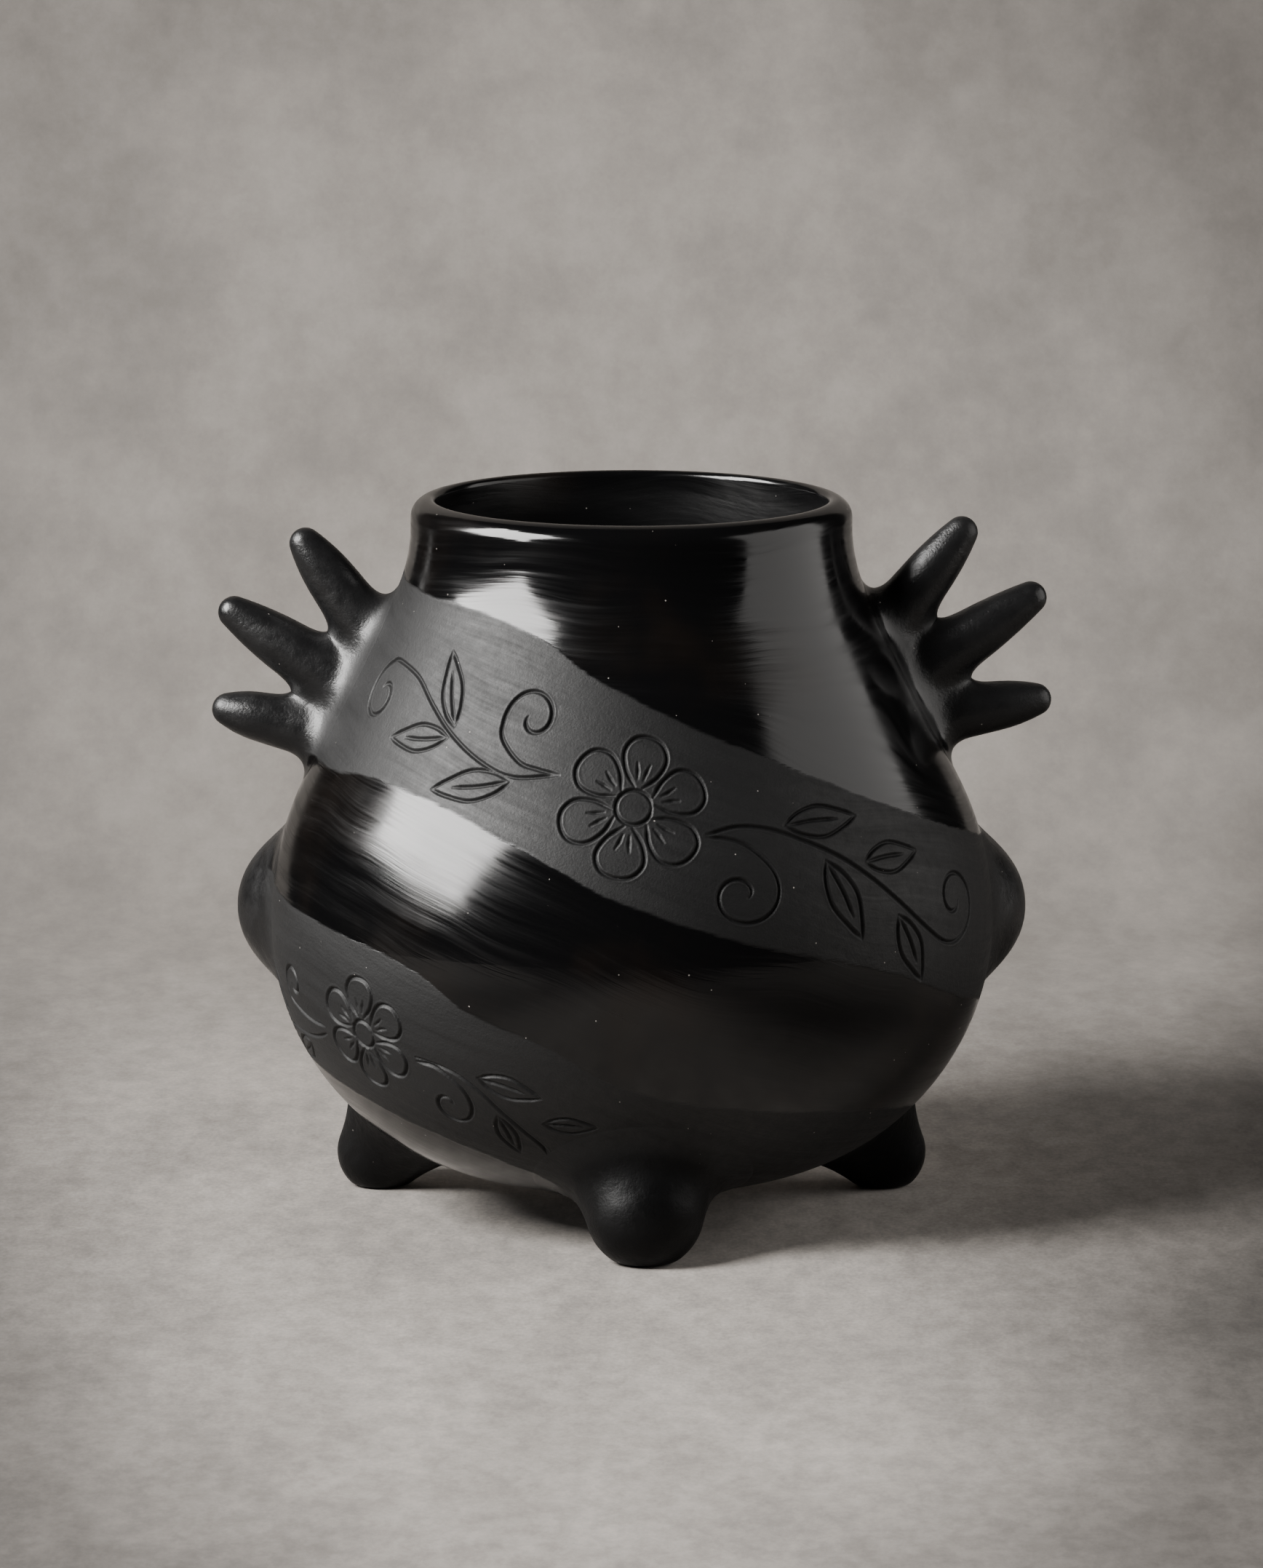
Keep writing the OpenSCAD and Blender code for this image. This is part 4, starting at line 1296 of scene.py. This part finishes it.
class JAR_OT_stage(bpy.types.Operator):
    """Pale studio paper, a softbox, a dim panel and the camera"""
    bl_idname = "jar.stage"
    bl_label = "Stage"

    def execute(self, context):
        stage = context.scene.jar_stage
        self.paper()
        self.softbox("key_softbox", stage.key_power, *KEY_BOX).visible_diffuse = False
        self.softbox("soft_light", stage.soft_power, *SOFT_BOX).visible_glossy = False
        self.softbox("dim_panel", stage.panel_power, *PANEL_BOX)
        self.room(stage)
        self.camera()
        return {"FINISHED"}

    def paper(self):
        """A sweep that curves up behind the jar. Its wings and its apron show in no reflection."""
        line = [(PAPER_FRONT, 0.0), (-0.2, 0.0), (0.1, 0.0), (PAPER_BEND, 0.0)]
        for a in np.linspace(0, math.pi / 2, 17)[1:]:
            line.append((PAPER_BEND + PAPER_RADIUS * math.sin(a), PAPER_RADIUS - PAPER_RADIUS * math.cos(a)))
        line.append((PAPER_BEND + PAPER_RADIUS, PAPER_TOP))
        edge = [PAPER_HALF - PAPER_NARROW * smooth_step(y, *NARROW_RANGE) for y, _ in line]
        ends = [PAPER_FAR] * len(line)
        self.strip("studio_sweep", line, [-x for x in edge], edge)
        self.strip("studio_left_wing", line, [-x for x in ends], [-x for x in edge]).visible_glossy = False
        self.strip("studio_right_wing", line, edge, ends).visible_glossy = False
        apron = [(PAPER_FRONT - PAPER_FAR, 0.0), (PAPER_FRONT, 0.0)]
        self.strip("studio_apron", apron, [-PAPER_FAR] * 2, [PAPER_FAR] * 2).visible_glossy = False

    def strip(self, name, line, left, right):
        """A sheet of paper along a line of (depth, height), between its left and right edges."""
        bm = bmesh.new()
        rows = len(line) - 1
        bmesh.ops.create_grid(bm, x_segments=1, y_segments=rows, size=1)
        for v in bm.verts:
            row = round((v.co.y + 1) / 2 * rows)
            v.co = (left[row] if v.co.x < 0 else right[row], *line[row])
        sheet = smooth_object(bm, name, studio_paper())
        return sheet

    def softbox(self, name, power, azimuth, elevation, away, width, height, tint, roll):
        light = bpy.data.lights.new(name, "AREA")
        light.shape = "RECTANGLE"
        light.size = width
        light.size_y = height
        light.energy = power
        light.color = tint
        lamp = linked(name, light)
        toward = self.toward(math.radians(azimuth), math.radians(elevation))
        lamp.location = BOXES_AIM + toward * away
        turn = toward.to_track_quat("Z", "Y") @ Quaternion((0, 0, 1), math.radians(roll))
        lamp.rotation_euler = turn.to_euler()
        return lamp

    def toward(self, azimuth, elevation):
        return outwards(azimuth) * math.cos(elevation) + UP * math.sin(elevation)

    def room(self, stage):
        world = bpy.data.worlds.new("dark_room")
        world.use_nodes = True
        background = world.node_tree.nodes["Background"]
        background.inputs["Color"].default_value = ROOM_COLOUR
        background.inputs["Strength"].default_value = stage.room
        bpy.context.scene.world = world

    def camera(self):
        data = bpy.data.cameras.new("photo_camera")
        data.sensor_width = SENSOR
        data.lens = LENS
        camera = linked("photo_camera", data)
        back = self.toward(0, math.radians(CAMERA_RISE))
        camera.location = Vector((0, 0, CAMERA_AIM)) + back * CAMERA_AWAY
        camera.rotation_euler = back.to_track_quat("Z", "Y").to_euler()
        bpy.context.scene.camera = camera


# Rates at which depth draws a place towards the picture's middle and lifts it there
VIEW_PULL = 0.385
VIEW_TILT = 0.164


def studio_paper():
    """Mottled pale paper with a painted pool of light round the jar and painted shade towards the corners and
    on the right, which only shows from its lit side.
    """
    name = "studio_paper"
    if name in bpy.data.materials:
        return bpy.data.materials[name]
    paper = bpy.context.scene.jar_stage.paper
    material, graph, shader, vector = new_material(name)
    axes = graph.axes(vector)
    clouds = graph.noise(graph.scaled(vector, (1, 0.4, 1)), 26.0, 7.0, 0.66)
    fibres = graph.noise(graph.scaled(vector, (1, 0.5, 1)), 1100.0, 2.0, 0.6)
    mottle = graph.noise(graph.scaled(vector, (1, 0.45, 1)), 170.0, 6.0, 0.72)
    # Painted light: paler round the jar, a painted pool of light, with clouds and a mottle that fades with
    # depth
    tone = graph.ramp(graph.length(graph.scaled(vector, (7, 2, 4.5))), 0.5, 2.1, 1.0, 0.66)
    tone = graph.times(tone, graph.ramp(clouds, 0.25, 0.75, 0.8, 1.16))
    spread = graph.times(graph.ramp(mottle, 0.3, 0.7, -0.17, 0.13), graph.ramp(axes[1], 0.0, 0.5, 1.0, 0.35))
    tone = graph.times_plus(tone, spread, tone)
    # Where a place stands in the picture, across and above its middle
    nearer = graph.math("DIVIDE", 1.0, graph.times_plus(axes[1], VIEW_PULL, 1.0))
    lift = graph.times_plus(axes[1], VIEW_TILT, graph.math("SUBTRACT", axes[2], CAMERA_AIM))
    across = graph.times(axes[0], nearer)
    above = graph.times(lift, nearer)
    # Painted shade: dim corners where less light falls, a painted shadow on the floor on the right and a dim
    # top right
    corner = graph.length(graph.vector(graph.times(across, 7.4), graph.times(above, 5.8), 0.0))
    dim = graph.times(graph.ramp(corner, 0.85, 1.4), graph.ramp(above, -0.16, 0.16, 0.62, 0.15))
    dim = graph.times(dim, graph.ramp(corner, 1.5, 2.6, 1.0, 0.2))
    # Painted shadow: the floor to the right of the jar, painted darker where its shadow falls
    right = graph.ramp(axes[0], 0.02, 0.12, 0.0, 0.5)
    for axis, *limits in ((0, 0.14, 0.22, 1.0, 0.0), (1, 0.1, 0.35, 1.0, 0.0), (1, -0.3, -0.1, 0.0, 1.0)):
        right = graph.times(right, graph.ramp(axes[axis], *limits))
    # Painted shade: the top right of the backdrop, painted darker
    painted_shade_top_right = graph.times(graph.ramp(across, 0.03, 0.13), graph.ramp(above, 0.06, 0.16, 0.0, 0.2))
    for shade in (dim, right, painted_shade_top_right):
        tone = graph.times(tone, graph.math("SUBTRACT", 1.0, shade))
    # Fibres, which are plainest near the jar
    grain = graph.ramp(graph.length(graph.scaled(vector, (5, 6, 9))), 0.3, 2.2, 0.6, 0.1)
    tone = graph.times(tone, graph.vary(1.0, fibres, grain))
    graph.wire(graph.scaled(paper, graph.vector(tone, tone, tone)), shader.inputs["Base Color"])
    shader.inputs["Roughness"].default_value = 0.9
    shader.inputs["Specular IOR Level"].default_value = 0.1
    output = material.node_tree.nodes["Material Output"]
    clear = graph.add("ShaderNodeBsdfTransparent")
    behind = graph.add("ShaderNodeNewGeometry").outputs["Backfacing"]
    sided = graph.add("ShaderNodeMixShader", {0: behind, 1: shader.outputs[0], 2: clear.outputs[0]})
    graph.wire(sided.outputs[0], output.inputs["Surface"])
    return material


PIECES = (JAR_OT_bowl, JAR_OT_shoulder, JAR_OT_rim_coil, JAR_OT_feet, JAR_OT_bosses, JAR_OT_gill_fans)


class JAR_PT_build(bpy.types.Panel):
    """Lists the pieces of the jar and its sizes"""
    bl_label = "Effigy Jar"
    bl_idname = "JAR_PT_build"
    bl_space_type = "VIEW_3D"
    bl_region_type = "UI"
    bl_category = "Jar"

    def draw(self, context):
        for operator in (*PIECES, JAR_OT_stage):
            self.layout.operator(operator.bl_idname)
        for key, kind in GROUPS.items():
            box = self.layout.box()
            for name in kind.__annotations__:
                box.prop(getattr(context.scene, key), name)


GROUPS = {"jar_pot": JarPot, "jar_applied": JarApplied, "jar_carving": JarCarving, "jar_finish": JarFinish,
          "jar_stage": JarStage}
CLASSES = (*GROUPS.values(), *PIECES, JAR_OT_stage, JAR_PT_build)


def register():
    for cls in CLASSES:
        bpy.utils.register_class(cls)
    for name, group in GROUPS.items():
        setattr(bpy.types.Scene, name, PointerProperty(type=group))


def unregister():
    for name in GROUPS:
        delattr(bpy.types.Scene, name)
    for cls in reversed(CLASSES):
        bpy.utils.unregister_class(cls)


def main():
    register()
    bpy.ops.jar.stage()
    bpy.ops.jar.bowl()
    bpy.ops.jar.shoulder()
    bpy.ops.jar.rim_coil()
    bpy.ops.jar.feet()
    bpy.ops.jar.bosses()
    bpy.ops.jar.gill_fans()


if __name__ == "__main__":
    main()
